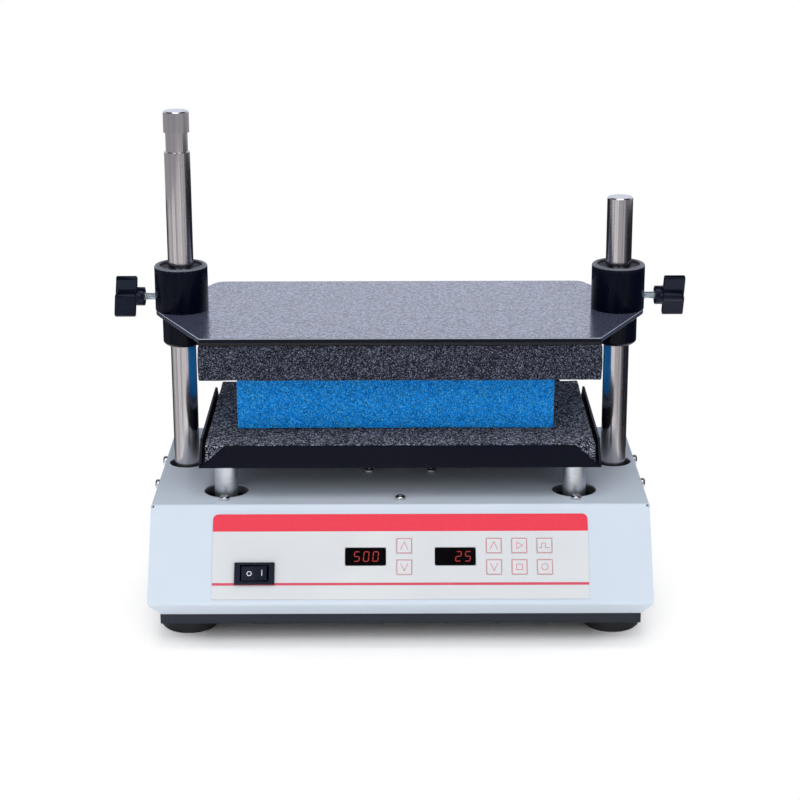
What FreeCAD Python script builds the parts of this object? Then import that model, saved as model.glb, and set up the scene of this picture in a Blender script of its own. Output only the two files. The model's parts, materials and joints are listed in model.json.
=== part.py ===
"""Multi-tube vortex mixer: a console with an orbiting foam tray under a foam-lined clamp plate.

Millimetres, +Z up, front towards -Y. The origin is on the table, below the middle of the machine.
"""
import FreeCAD
import Part
import Sketcher
import os
import re

SIZES = {
    # Console: cover, base plate and feet
    "cover_width": 401.0,
    "base_depth": 251.0,
    "sheet": 1.5,
    "bend_radius": 2.4,
    "foot_height": 14.0,
    "foot_diameter": 46.0,
    "foot_inset": 29.5,
    "foot_setback": 35.0,
    "foot_recess": 9.0,
    "foot_chamfer": 2.0,
    "head_room": 1.0,
    "base_thickness": 8.4,
    "lip_rise": 11.6,
    "lip_setback": 9.0,
    "panel_rise": 66.8,
    "panel_run": 48.5,
    "relief_diameter": 3.4,
    "relief_depth": 4.0,
    # Inner frame
    "frame_thickness": 6.0,
    "frame_setback": 5.0,
    "fit_gap": 0.3,
    "pillar_diameter": 16.0,
    "pillar_gap": 18.3,
    "pillar_front": 26.0,
    "pillar_back": 17.0,
    # Guide rods
    "rod_inset": 19.1,
    "rod_diameter": 21.2,
    "rod_room": 4.4,
    "rod_chamfer": 0.9,
    "rod_lift": 2.0,
    "long_rod_length": 365.4,
    "short_rod_length": 293.6,
    "groove_depth": 1.5,
    "groove_width": 16.0,
    "groove_drop": 17.4,
    "socket_height": 30.0,
    "socket_wall": 5.0,
    "socket_inset": 4.0,
    "socket_foot": 62.0,
    "socket_fit": 0.05,
    # Orbiting tray
    "orbit_radius": 1.8,
    "tray_rod_gap": 6.7,
    "tray_sheet": 2.0,
    "tray_gap": 26.7,
    "flange_height": 18.6,
    "flange_corner": 3.0,
    "flange_slant": 18.0,
    "pad_thickness": 17.0,
    "pad_gap": 0.5,
    "pad_round": 1.2,
    "post_diameter": 19.0,
    "post_room": 6.85,
    "post_side": 20.0,
    "post_end": 21.5,
    "post_front": 16.85,
    "post_back": 4.35,
    "mount_diameter": 32.0,
    "mount_waist": 26.0,
    "mount_height": 28.0,
    "mount_flange": 3.0,
    "mount_taper": 4.0,
    "rack_left": 28.2,
    "rack_right": 35.4,
    "rack_front": 43.0,
    "rack_height": 52.7,
    "foam_round": 2.4,
    "seat_gap": 0.3,
    # Clamp plate
    "top_pad_side": 3.5,
    "top_pad_over": 1.0,
    "top_pad_thickness": 31.8,
    "plate_thickness": 4.0,
    "plate_over": 1.0,
    "plate_shoulder": 22.4,
    "plate_corner": 11.0,
    "ear_setback": 0.4,
    "collar_wall": 4.22,
    "collar_height": 38.2,
    "collar_edge": 1.2,
    "spigot_wall": 3.82,
    "spigot_length": 25.9,
    "spigot_round": 2.5,
    "liner_wall": 2.0,
    "liner_flange": 5.1,
    "liner_lip": 2.0,
    "liner_sink": 1.6,
    "slide_fit": 0.06,
    "press_gap": 0.02,
    # Wing knobs
    "knob_rise": 10.8,
    "stud_diameter": 6.0,
    "stud_fit": 0.08,
    "tip_length": 3.0,
    "tip_step": 0.5,
    "tip_gap": 0.2,
    "stud_exposed": 8.5,
    "hub_diameter": 15.5,
    "hub_length": 7.1,
    "core_diameter": 11.0,
    "core_short": 2.0,
    "wing_length": 17.6,
    "wing_span": 36.0,
    "wing_root": 5.6,
    "wing_tip": 4.6,
    "wing_offset": 2.0,
    "wing_round": 1.6,
    "left_knob_lean": 30.0,
    "right_knob_lean": 24.0,
    # Drive
    "drive_screw_x": 26.0,
    "drive_screw_y": 27.0,
    "shaft_diameter": 15.0,
    "shaft_room": 8.5,
    "shaft_collar": 3.0,
    "collar_room": 2.5,
    "shaft_end": 2.0,
    "shaft_foot": 4.9,
    "bearing_section": 10.0,
    "bearing_width": 11.0,
    "race_gap": 3.0,
    "race_dip": 0.8,
    "running_fit": 0.03,
    "housing_margin": 3.5,
    "housing_flange_thickness": 8.0,
    "housing_wall": 7.5,
    "pin_diameter": 12.0,
    "pin_clearance": 4.0,
    "pin_root": 2.0,
    "pin_room": 3.0,
    "hub_bearing_section": 8.0,
    "hub_bearing_width": 8.0,
    "hub_wall": 8.0,
    "hub_cover": 4.0,
    "hub_relief": 1.0,
    "pulley_width": 13.0,
    "pulley_gap": 1.0,
    "pulley_flange": 1.5,
    "pulley_flange_rise": 3.0,
    "driven_diameter": 54.0,
    "motor_pulley_diameter": 32.0,
    "belt_thickness": 2.0,
    "belt_gap": 0.2,
    "weight_radius": 34.0,
    "weight_thickness": 9.0,
    "weight_web": 4.0,
    "motor_side": 9.0,
    "motor_gap": 5.0,
    "motor_diameter": 68.0,
    "motor_chamfer": 2.0,
    "motor_boss_diameter": 22.6,
    "motor_boss_height": 2.0,
    "motor_shaft_diameter": 8.0,
    "motor_shaft_end": 1.0,
    "motor_shaft_gap": 5.0,
    # Control panel
    "overlay_side": 28.7,
    "overlay_drop": 8.6,
    "overlay_foot": 4.0,
    "overlay_thickness": 1.2,
    "overlay_corner": 4.0,
    "key_size": 12.8,
    "key_thickness": 0.8,
    "key_proud": 0.15,
    "key_gap": 0.15,
    "upper_key_drop": 35.0,
    "key_row_gap": 4.8,
    "key_column_gap": 7.4,
    "window_key_gap": 8.0,
    "group_gap": 17.9,
    "speed_window_x": -27.8,
    "window_width": 32.8,
    "window_height": 15.0,
    "window_rim": 2.0,
    "module_gap": 1.0,
    "switch_side": 34.0,
    "switch_foot": 12.3,
    "bezel_side": 4.7,
    "bezel_edge": 2.2,
    "bezel_rise": 2.6,
    "rocker_width": 21.0,
    "rocker_height": 12.0,
    "rocker_gap": 0.8,
    "rocker_sink": 1.4,
    "rocker_end_rise": 1.9,
    "rocker_dip": 0.6,
    "rocker_root": 6.0,
    "rocker_taper": 2.3,
    "rock_angle": 9.0,
    "stub_diameter": 1.8,
    "stub_length": 1.7,
    "stub_gap": 0.15,
    "switch_wall": 1.6,
    "switch_body_depth": 20.0,
    "board_depth": 13.0,
    "board_thickness": 1.6,
    "board_margin": 14.0,
    "board_head": 2.6,
    "board_foot": 10.5,
    "board_edge": 6.0,
    "standoff_diameter": 6.0,
    # Rear and power
    "inlet_gap": 17.8,
    "inlet_rise": 39.6,
    "inlet_brim": 2.0,
    "inlet_flange": 2.4,
    "inlet_wall": 2.0,
    "socket_width": 24.4,
    "socket_tall": 17.6,
    "socket_depth": 16.0,
    "pin_width": 2.0,
    "pin_tall": 4.0,
    "pin_length": 13.0,
    "pin_spread": 7.0,
    "pin_drop": 1.0,
    "earth_rise": 5.0,
    "vent_spread": 88.0,
    "vent_slot": 4.0,
    "vent_tall": 26.0,
    "vent_x": 70.0,
    "supply_gap": 10.0,
    "supply_width": 62.0,
    "supply_depth": 92.0,
    "supply_stand": 6.0,
    "core_width": 31.0,
    "core_depth": 27.6,
    "core_height": 30.0,
    "core_setback": 16.0,
    "can_diameter": 12.4,
    "can_height": 24.0,
    "can_gap": 2.5,
    "sink_thickness": 3.7,
    "sink_depth": 64.4,
    "sink_height": 27.0,
    # Screws
    "screw_head": 8.6,
    "screw_head_height": 3.2,
    "screw_dome": 1.9,
    "screw_shank": 4.0,
    "screw_length": 9.0,
    "screw_gap": 0.1,
    "screw_tail": 2.0,
    "screw_cross": 4.8,
    "screw_slot": 1.4,
    "screw_slot_depth": 1.2,
    "cover_screw_setback": 12.0,
    "cover_screw_back": 12.0,
    "back_screw_gap": 30.0,
    "side_screw_gap": 1.0,
    "side_screw_pitch": 29.0,
    "rear_screw_inset": 30.5,
}

# Places that follow from the sizes, as rules in the sheet's own words
RULES = {
    "half_width": "cover_width / 2",
    "nose_y": "-base_depth / 2",
    "back_y": "base_depth / 2",
    "base_top": "foot_height + base_thickness",
    "nose_z": "base_top + lip_rise",
    "deck_z": "nose_z + panel_rise",
    "brow_y": "nose_y + panel_run",
    "slope_length": "hypot(panel_run; panel_rise)",
    "panel_turn": "atan(panel_rise / panel_run)",
    "inner_half": "half_width - sheet",
    "under_deck": "deck_z - sheet",
    "frame_low": "under_deck - frame_thickness",
    "frame_middle": "frame_low + frame_thickness / 2",
    "base_middle": "foot_height + base_thickness / 2",
    "frame_front": "brow_y + frame_setback",
    "frame_back": "back_y - sheet",
    "base_half": "half_width - lip_setback",
    "base_front": "nose_y + lip_setback",
    "post_hole": "post_diameter + 2 * orbit_radius + 2 * post_room",
    "front_post_y": "brow_y + post_front + post_hole / 2",
    "back_post_y": "back_y - post_back - post_hole / 2",
    "rod_x": "half_width - rod_inset",
    "rod_y": "(front_post_y + back_post_y) / 2",
    "rod_radius": "rod_diameter / 2",
    "rod_hole": "rod_diameter + 2 * rod_room",
    "rod_seat": "nose_z + rod_lift",
    "socket_radius": "rod_radius + socket_fit + socket_wall",
    "half_tray": "rod_x - rod_radius - orbit_radius - tray_rod_gap",
    "post_x": "half_tray - post_side",
    "post_y": "(back_post_y - front_post_y) / 2",
    "half_deep": "post_y + post_end",
    "tray_y": "rod_y - orbit_radius",
    "tray_low": "deck_z + tray_gap",
    "tray_floor": "tray_low + tray_sheet",
    "flange_top": "tray_low + flange_height",
    "pad_top": "tray_floor + pad_thickness",
    "rack_low": "pad_top + seat_gap",
    "rack_top": "rack_low + rack_height",
    "pillar_x": "post_x - mount_diameter / 2 - pillar_diameter / 2 - pillar_gap",
    "top_pad_low": "rack_top + seat_gap",
    "plate_low": "top_pad_low + top_pad_thickness",
    "plate_top": "plate_low + plate_thickness",
    "collar_top": "plate_top + collar_height",
    "spigot_low": "plate_low - spigot_length",
    "liner_radius": "rod_radius + slide_fit + liner_wall",
    "liner_seat": "collar_top - liner_sink - liner_lip",
    "spigot_radius": "liner_radius + press_gap + spigot_wall",
    "collar_radius": "liner_radius + liner_flange + press_gap + collar_wall",
    "ear_radius": "collar_radius - ear_setback",
    "half_pad": "rod_x - spigot_radius - top_pad_side",
    "deep_pad": "half_deep + top_pad_over",
    "half_front": "rod_x - plate_shoulder",
    "half_plate": "deep_pad + plate_over",
    "ear_lean": "atan2(half_plate; -plate_shoulder) - acos(ear_radius / hypot(plate_shoulder; half_plate))",
    "ear_point": "rod_x + ear_radius / cos(ear_lean)",
    "knob_z": "plate_top + knob_rise",
    "collar_face": "rod_x + collar_radius",
    "tip_start": "rod_x + rod_radius + tip_gap",
    "stud_start": "tip_start + tip_length",
    "hub_start": "collar_face + stud_exposed",
    "wing_start": "hub_start + hub_length",
    "wing_end": "wing_start + wing_length",
    "pulley_low": "base_top + shaft_foot + shaft_end",
    "pulley_top": "pulley_low + pulley_width",
    "weight_low": "pulley_top + pulley_gap",
    "housing_low": "weight_low + weight_thickness + pulley_gap",
    "bearing_outer": "shaft_diameter + 2 * bearing_section",
    "housing_bore": "shaft_diameter + 2 * shaft_collar + 2 * collar_room",
    "shaft_hole": "shaft_diameter + 2 * shaft_room",
    "flange_radius": "hypot(drive_screw_x; drive_screw_y) + screw_shank / 2 + housing_margin",
    "shaft_top": "tray_low - pin_clearance",
    "hub_top": "pad_top - hub_cover",
    "hub_bearing_outer": "pin_diameter + 2 * hub_bearing_section",
    "tray_hub_diameter": "hub_bearing_outer + 2 * hub_wall",
    "hub_bearing_low": "hub_top - hub_bearing_width",
    "mount_top": "base_top + mount_height",
    "motor_x": "flange_radius + motor_side + motor_diameter / 2",
    "motor_low": "pulley_top + motor_gap + motor_boss_height",
    "belt_slope": "asin((driven_diameter - motor_pulley_diameter) / 2 / motor_x)",
    "belt_low": "pulley_low + pulley_flange + belt_gap",
    "belt_tall": "pulley_width - 2 * pulley_flange - 2 * belt_gap",
    "lower_key_drop": "upper_key_drop + key_size + key_row_gap",
    "window_drop": "(upper_key_drop + lower_key_drop) / 2",
    "speed_key_x": "speed_window_x + window_width / 2 + window_key_gap + key_size / 2",
    "time_window_x": "speed_key_x + key_size / 2 + group_gap + window_width / 2",
    "time_key_x": "time_window_x + window_width / 2 + window_key_gap + key_size / 2",
    "run_key_x": "time_key_x + key_size + key_column_gap",
    "pulse_key_x": "run_key_x + key_size + key_column_gap",
    "overlay_half": "pulse_key_x + key_size / 2 + overlay_side",
    "overlay_low": "slope_length - overlay_foot",
    "mouth_width": "rocker_width + 2 * rocker_gap",
    "mouth_tall": "rocker_height + 2 * rocker_gap",
    "switch_body": "mouth_width + 2 * switch_wall",
    "switch_body_tall": "mouth_tall + 2 * switch_wall",
    "switch_x": "switch_side - overlay_half",
    "switch_drop": "overlay_low - switch_foot - switch_body_tall / 2",
    "rocker_pivot": "overlay_thickness + bezel_rise - rocker_sink",
    "board_left": "speed_window_x - window_width / 2 - board_margin",
    "board_right": "pulse_key_x + key_size / 2 + board_margin",
    "board_top": "upper_key_drop - key_size / 2 - board_head",
    "board_low": "overlay_low - board_foot",
    "inlet_height": "base_top + inlet_rise",
    "inlet_body": "socket_width + 2 * inlet_wall",
    "inlet_x": "pillar_diameter / 2 + inlet_gap + inlet_body / 2 - pillar_x",
    "inlet_body_tall": "socket_tall + 2 * inlet_wall",
    "inlet_floor": "back_y + inlet_flange - socket_depth",
    "supply_right": "-flange_radius - supply_gap",
    "supply_left": "supply_right - supply_width",
    "supply_front": "rod_y - supply_depth / 2",
    "supply_back": "rod_y + supply_depth / 2",
    "supply_low": "base_top + supply_stand",
    "supply_top": "supply_low + board_thickness",
    "screw_hole": "screw_shank + 2 * screw_gap",
    "screw_reach": "screw_length + screw_tail",
    "back_screw_x": "pillar_x - pillar_diameter / 2 - back_screw_gap",
    "side_screw_near": "rod_hole / 2 + side_screw_gap",
    "side_screw_far": "side_screw_near + side_screw_pitch",
    "rear_screw_x": "half_width - rear_screw_inset",
}

# How far a cutting solid runs past what it cuts, and how close two places count as one
OVERCUT = 1
SMALL = 0.01

doc = FreeCAD.newDocument("VortexMixer")
sheet = doc.addObject("Spreadsheet::Sheet", "Sizes")
for row, (alias, number) in enumerate(SIZES.items(), start=1):
    sheet.set(f"A{row}", alias)
    sheet.set(f"B{row}", str(number))
    sheet.setAlias(f"B{row}", alias)
doc.recompute()

NODES = []
WORD = re.compile(r"[a-z][a-z_]*")
SIDES = (("left", "-1"), ("right", "1"))


def full(rule):
    """Write a rule out in the sheet's cells, with each derived place spelled out."""
    def spell(match):
        word = match.group()
        if word in RULES:
            return "(" + full(RULES[word]) + ")"
        if word in SIZES:
            return "Sizes." + word
        return word
    return WORD.sub(spell, str(rule))


def bind(item, prop, rule):
    """Tie one property to a rule."""
    item.setExpression(prop, full(rule))


def place(item, x="0", y="0", z="0"):
    """Tie a placement's base to three rules."""
    for letter, rule in zip("xyz", (x, y, z)):
        bind(item, f"Placement.Base.{letter}", rule)
    return item


def turn(item, axis, rule):
    """Tie a placement's rotation about a fixed axis to a rule in degrees."""
    item.Placement.Rotation = FreeCAD.Rotation(FreeCAD.Vector(*axis), 1.0)
    bind(item, "Placement.Rotation.Angle", rule)
    return item


def node(label, item):
    """Keep an object as one piece of the machine."""
    item.Label = label
    NODES.append(item)
    return item


def box(name, low, size):
    """A block from its low corner and its three sides."""
    item = doc.addObject("Part::Box", name)
    for side, rule in zip(("Length", "Width", "Height"), size):
        bind(item, side, rule)
    return place(item, *low)


def bar(name, low, diameter, length, axis="z"):
    """A round bar from the middle of its low end, along one axis."""
    item = doc.addObject("Part::Cylinder", name)
    if axis == "x":
        item.Placement.Rotation = FreeCAD.Rotation(FreeCAD.Vector(0, 1, 0), 90)
    if axis == "y":
        item.Placement.Rotation = FreeCAD.Rotation(FreeCAD.Vector(1, 0, 0), -90)
    bind(item, "Radius", f"({diameter}) / 2")
    bind(item, "Height", length)
    return place(item, *low)


def fuse(name, items):
    """Join several solids into one."""
    item = doc.addObject("Part::MultiFuse", name)
    item.Shapes = items
    item.Refine = True
    return item


def cut(name, base, tools):
    """Take several solids out of one."""
    item = doc.addObject("Part::Cut", name)
    item.Base = base
    item.Tool = tools[0] if len(tools) == 1 else fuse(name + "_tools", tools)
    return item


def common(name, one, other):
    """Keep what two solids share."""
    item = doc.addObject("Part::Common", name)
    item.Base = one
    item.Tool = other
    return item


def group(name, items):
    """Several separate solids kept as one node."""
    item = doc.addObject("Part::Compound", name)
    item.Links = items
    return item


class Outline:
    """A sketch in a body whose corners, centres and diameters are tied to rules."""

    def __init__(self, body, name, role, offset="0"):
        self.sketch = body.newObject("Sketcher::SketchObject", name)
        support = [f for f in body.Origin.OriginFeatures if getattr(f, "Role", "") == role]
        self.sketch.AttachmentSupport = [(support[0], "")]
        self.sketch.MapMode = "FlatFace"
        bind(self.sketch, "AttachmentOffset.Base.z", offset)

    def fix(self, kind, target, rule, start):
        """Add one driving constraint and tie it to a rule."""
        index = self.sketch.addConstraint(Sketcher.Constraint(kind, *target, start))
        bind(self.sketch, f"Constraints[{index}]", rule)

    def polygon(self, corners):
        """A closed run of straight lines."""
        first = self.sketch.GeometryCount
        count = len(corners)
        arm = FreeCAD.Vector(count + first, 0, 0)
        upward = FreeCAD.Vector(0, 0, 1)
        spots = [FreeCAD.Rotation(upward, 360.0 * k / count).multVec(arm) for k in range(count)]
        for k in range(count):
            self.sketch.addGeometry(Part.LineSegment(spots[k], spots[(k + 1) % count]))
        for k in range(count):
            following = first + (k + 1) % count
            self.sketch.addConstraint(Sketcher.Constraint("Coincident", first + k, 2, following, 1))
        for k, (across, along) in enumerate(corners):
            self.fix("DistanceX", (-1, 1, first + k, 1), across, spots[k].x)
            self.fix("DistanceY", (-1, 1, first + k, 1), along, spots[k].y)
        return self

    def rectangle(self, left, low, right, high):
        """A rectangle from two opposite corners."""
        return self.polygon([(left, low), (right, low), (right, high), (left, high)])

    def window(self, x, y, width, height):
        """A rectangle from its middle and its two sides."""
        return self.rectangle(f"{x} - ({width}) / 2", f"{y} - ({height}) / 2",
                              f"{x} + ({width}) / 2", f"{y} + ({height}) / 2")

    def circle(self, x, y, diameter):
        """A circle from its middle and its diameter."""
        index = self.sketch.GeometryCount
        start = index + 1
        spot = FreeCAD.Vector(start, start, 0)
        self.sketch.addGeometry(Part.Circle(spot, FreeCAD.Vector(0, 0, 1), start))
        self.fix("DistanceX", (-1, 1, index, 3), x, spot.x)
        self.fix("DistanceY", (-1, 1, index, 3), y, spot.y)
        self.fix("Radius", (index,), f"({diameter}) / 2", start)
        return self


def body_of(name):
    """An empty part-design body."""
    return doc.addObject("PartDesign::Body", name)


def pad(body, outline, length):
    """Raise a sketch along its plane's normal."""
    feature = body.newObject("PartDesign::Pad", outline.sketch.Name + "_pad")
    feature.Profile = outline.sketch
    bind(feature, "Length", length)
    return feature


def turned(name, profile, role="XZ_Plane", axis="V_Axis"):
    """A body of revolution from (radius, height) corners."""
    body = body_of(name)
    outline = Outline(body, name + "_profile", role).polygon(profile)
    feature = body.newObject("PartDesign::Revolution", name + "_turn")
    feature.Profile = outline.sketch
    feature.ReferenceAxis = (outline.sketch, [axis])
    feature.Angle = 360.0
    return body


def soften(body, base, radius, wanted):
    """Round the edges of a feature that a test picks."""
    doc.recompute()
    names = [f"Edge{k}" for k, edge in enumerate(base.Shape.Edges, start=1) if wanted(edge)]
    feature = body.newObject("PartDesign::Fillet", base.Name + "_round")
    feature.Base = (base, names)
    bind(feature, "Radius", radius)
    return feature


def upright(edge):
    """Whether an edge is a straight line along Z."""
    return edge.Curve.TypeId == "Part::GeomLine" and abs(edge.Curve.Direction.z) > 1 - SMALL


def on_panel(body):
    """Put a body in the panel's frame: x along the brow, y up the slope, z out of the panel."""
    place(body, "0", "brow_y", "deck_z")
    return turn(body, (1, 0, 0), "panel_turn")


def block(name, low, high, round_rule):
    """A slab from two opposite corners, with every edge softened."""
    body = body_of(name)
    outline = Outline(body, name + "_plan", "XY_Plane", low[2])
    outline.rectangle(low[0], low[1], high[0], high[1])
    slab = pad(body, outline, f"({high[2]}) - ({low[2]})")
    soften(body, slab, round_rule, lambda edge: True)
    return body


def pan_screw(name, x, y, z, axis=(0, 0, 1), angle="0"):
    """A cross-slotted pan-head screw whose head sits on the given point, with its shank behind."""
    body = turned(name, [
        ("0", "-screw_length"),
        ("screw_shank / 2", "-screw_length"),
        ("screw_shank / 2", "0"),
        ("screw_head / 2", "0"),
        ("screw_head / 2", "screw_head_height"),
        ("0", "screw_head_height"),
    ])
    soften(body, body.Tip, "screw_dome",
           lambda edge: edge.BoundBox.ZMin > SMALL and edge.BoundBox.ZLength < SMALL
           and edge.Curve.TypeId == "Part::GeomCircle")
    slot = Outline(body, name + "_slot", "XY_Plane", "screw_head_height - screw_slot_depth")
    arm = "screw_cross / 2"
    wide = "screw_slot / 2"
    slot.polygon([
        (f"-{arm}", f"-{wide}"), (f"-{wide}", f"-{wide}"), (f"-{wide}", f"-{arm}"),
        (wide, f"-{arm}"), (wide, f"-{wide}"), (arm, f"-{wide}"),
        (arm, wide), (wide, wide), (wide, arm),
        (f"-{wide}", arm), (f"-{wide}", wide), (f"-{arm}", wide),
    ])
    recess = body.newObject("PartDesign::Pocket", name + "_recess")
    recess.Profile = slot.sketch
    recess.Reversed = True
    bind(recess, "Length", f"screw_slot_depth + {OVERCUT}")
    place(body, x, y, z)
    if angle != "0":
        turn(body, axis, angle)
    return body


# Screws through the cover top: a front and a back row, and four round the drive
top_spots = [(f"{k} * post_x", "brow_y + cover_screw_setback") for k in (-1, 0, 1)]
top_spots += [(f"{k} * back_screw_x", "back_y - cover_screw_back") for k in (-1, 1)]
drive_spots = [(f"{i} * drive_screw_x", f"rod_y + {j} * drive_screw_y") for i in (-1, 1) for j in (-1, 1)]
side_spots = [(sign, place_y) for _, sign in SIDES
              for place_y in ("rod_y + side_screw_near", "rod_y - side_screw_far")]
rear_spots = [(f"{k} * rear_screw_x", height) for height in ("frame_middle", "base_middle")
              for k in (-1, 0, 1)]
post_spots = [(f"{i} * post_x", f"{j} * post_y") for i in (-1, 1) for j in (-1, 1)]


def top_holes(name, spots):
    """Bores for screws that go down from the cover top."""
    return [bar(f"{name}_{k}", (x, y, "deck_z - screw_reach"), "screw_hole", f"screw_reach + {OVERCUT}")
            for k, (x, y) in enumerate(spots)]


def side_holes(name):
    """Bores for screws that go in from both side walls."""
    return [bar(f"{name}_{k}", (f"{sign} * half_width - screw_reach", y, "frame_middle"), "screw_hole",
                "2 * screw_reach", "x") for k, (sign, y) in enumerate(side_spots)]


def rear_holes(name):
    """Bores for screws that go in from the rear panel."""
    return [bar(f"{name}_{k}", (x, "back_y - screw_reach", z), "screw_hole",
                "2 * screw_reach", "y") for k, (x, z) in enumerate(rear_spots)]


def shared_openings(name):
    """Bores that the cover top and the plate below it have in common."""
    low = f"frame_low - {OVERCUT}"
    tall = f"frame_thickness + sheet + 2 * {OVERCUT}"
    posts = [bar(f"{name}_post_{k}", (x, f"rod_y + {y}", low), "post_hole", tall)
             for k, (x, y) in enumerate(post_spots)]
    rods = [bar(f"{name}_rod_{word}", (f"{sign} * rod_x", "rod_y", low), "rod_hole", tall)
            for word, sign in SIDES]
    spindle = bar(f"{name}_spindle", ("0", "rod_y", low), "shaft_hole", tall)
    return posts + rods + [spindle]


# Cover: one bent sheet with a sloped front, a flat top, two sides and a lip turned in below
def cover_solid(name, inset, back, low):
    """The room inside the cover's outline, drawn in by a wall thickness."""
    lip_slant = f"({inset}) * hypot(lip_setback; lip_rise) / lip_rise"
    side = body_of(name + "_side")
    profile = Outline(side, name + "_side_profile", "YZ_Plane", f"-half_width - {OVERCUT}")
    profile.polygon([
        (f"nose_y + lip_setback + {lip_slant}", low),
        (f"nose_y + ({inset}) * slope_length / panel_rise", "nose_z"),
        (f"brow_y + ({inset}) * (slope_length - panel_run) / panel_rise", f"deck_z - ({inset})"),
        (back, f"deck_z - ({inset})"),
        (back, low),
    ])
    pad(side, profile, f"cover_width + 2 * {OVERCUT}")
    face = body_of(name + "_face")
    outline = Outline(face, name + "_face_profile", "XZ_Plane", f"-({back}) - {OVERCUT}")
    edge = f"half_width - ({inset})"
    foot = f"half_width - lip_setback - {lip_slant}"
    outline.polygon([
        (f"-({foot})", low), (foot, low), (edge, "nose_z"),
        (edge, f"deck_z + {OVERCUT}"), (f"-({edge})", f"deck_z + {OVERCUT}"), (f"-({edge})", "nose_z"),
    ])
    pad(face, outline, f"base_depth + 3 * {OVERCUT}")
    return common(name, side, face)


outer = cover_solid("cover_outside", "0", "back_y", "base_top")
inner = cover_solid("cover_inside", "sheet", f"back_y + {OVERCUT}", "base_top")
doc.recompute()
bends = doc.addObject("Part::Fillet", "cover_bends")
bends.Base = outer
radius = sheet.get("bend_radius")
long_edge = sheet.get("base_depth") / 3
outer_box = outer.Shape.BoundBox


def is_bend(edge):
    """Whether an edge of the cover is one of its bends."""
    span = edge.BoundBox
    across = span.XLength > long_edge
    along = span.YLength > long_edge
    on_top = span.ZMin > outer_box.ZMax - SMALL
    nose = across and span.YMax < outer_box.YMin + SMALL
    brow = across and on_top and span.YMax < outer_box.YMax - SMALL
    lip = along and span.ZMax < outer_box.ZMax - SMALL and span.ZMin > outer_box.ZMin + SMALL
    return nose or brow or lip or (along and on_top)


bends.Edges = [(k, radius, radius) for k, edge in enumerate(outer.Shape.Edges, start=1) if is_bend(edge)]

panel_openings = body_of("panel_openings")
cutouts = Outline(panel_openings, "panel_cutouts", "XY_Plane", "-3 * sheet")
cutouts.window("speed_window_x", "-window_drop", "window_width - 2 * window_rim",
               "window_height - 2 * window_rim")
cutouts.window("time_window_x", "-window_drop", "window_width - 2 * window_rim",
               "window_height - 2 * window_rim")
cutouts.window("switch_x", "-switch_drop", "switch_body", "switch_body_tall")
pad(panel_openings, cutouts, "6 * sheet")
on_panel(panel_openings)
reliefs = [bar(f"relief_{word}", (f"{sign} * (half_width - sheet)", "brow_y", "deck_z - relief_depth"),
               "relief_diameter", f"relief_depth + {OVERCUT}") for word, sign in SIDES]
node("cover", cut("cover", bends, [inner, panel_openings] + reliefs + shared_openings("cover_opening")
     + top_holes("cover_hole", top_spots + drive_spots) + side_holes("cover_side_hole")))

# Base plate, feet and their screws
foot_spots = [(f"{i} * (half_width - foot_inset)", place_y) for i in (-1, 1)
              for place_y in ("base_front + foot_setback", "frame_back - foot_setback")]
base_slab = box("base_slab", ("-base_half", "base_front", "foot_height"),
                ("2 * base_half", "frame_back - base_front", "base_thickness"))
foot_bores = [bar(f"base_foot_bore_{k}", (x, y, f"foot_height - {OVERCUT}"), "screw_hole",
                  f"base_thickness + 2 * {OVERCUT}") for k, (x, y) in enumerate(foot_spots)]
node("base_plate", cut("base_plate", base_slab, foot_bores + rear_holes("base_rear_hole")))

feet = []
foot_screws = []
for k, (x, y) in enumerate(foot_spots):
    foot = turned(f"foot_{k}", [
        ("screw_head / 2 + head_room", "0"),
        ("foot_diameter / 2 - foot_chamfer", "0"),
        ("foot_diameter / 2", "foot_chamfer"),
        ("foot_diameter / 2", "foot_height"),
        ("screw_hole / 2", "foot_height"),
        ("screw_hole / 2", "foot_recess"),
        ("screw_head / 2 + head_room", "foot_recess"),
    ])
    feet.append(place(foot, x, y))
    foot_screws.append(pan_screw(f"foot_screw_{k}", x, y, "foot_recess", (1, 0, 0), "180"))
node("rubber_feet", group("rubber_feet", feet))
node("foot_screws", group("foot_screws", foot_screws))

# Inner frame: a plate under the cover top on four pillars
frame_slab = box("frame_slab", ("-inner_half + fit_gap", "frame_front", "frame_low"),
                 ("2 * (inner_half - fit_gap)", "frame_back - frame_front", "frame_thickness"))
node("deck_plate", cut("deck_plate", frame_slab, shared_openings("frame_opening")
     + top_holes("frame_hole", top_spots + drive_spots) + side_holes("frame_side_hole")
     + rear_holes("frame_rear_hole")))
pillar_spots = [(f"{i} * pillar_x", place_y) for i in (-1, 1)
                for place_y in ("frame_front + pillar_front", "frame_back - pillar_back")]
node("deck_pillars", group("deck_pillars", [
    bar(f"pillar_{k}", (x, y, "base_top"), "pillar_diameter", "frame_low - base_top")
    for k, (x, y) in enumerate(pillar_spots)]))

node("cover_screws", group("cover_screws", [
    pan_screw(f"cover_screw_{k}", x, y, "deck_z") for k, (x, y) in enumerate(top_spots)]))
node("drive_screws", group("drive_screws", [
    pan_screw(f"drive_screw_{k}", x, y, "deck_z") for k, (x, y) in enumerate(drive_spots)]))
node("side_screws", group("side_screws", [
    pan_screw(f"side_screw_{k}", f"{sign} * half_width", y, "frame_middle", (0, 1, 0), f"{sign} * 90")
    for k, (sign, y) in enumerate(side_spots)]))

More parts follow.
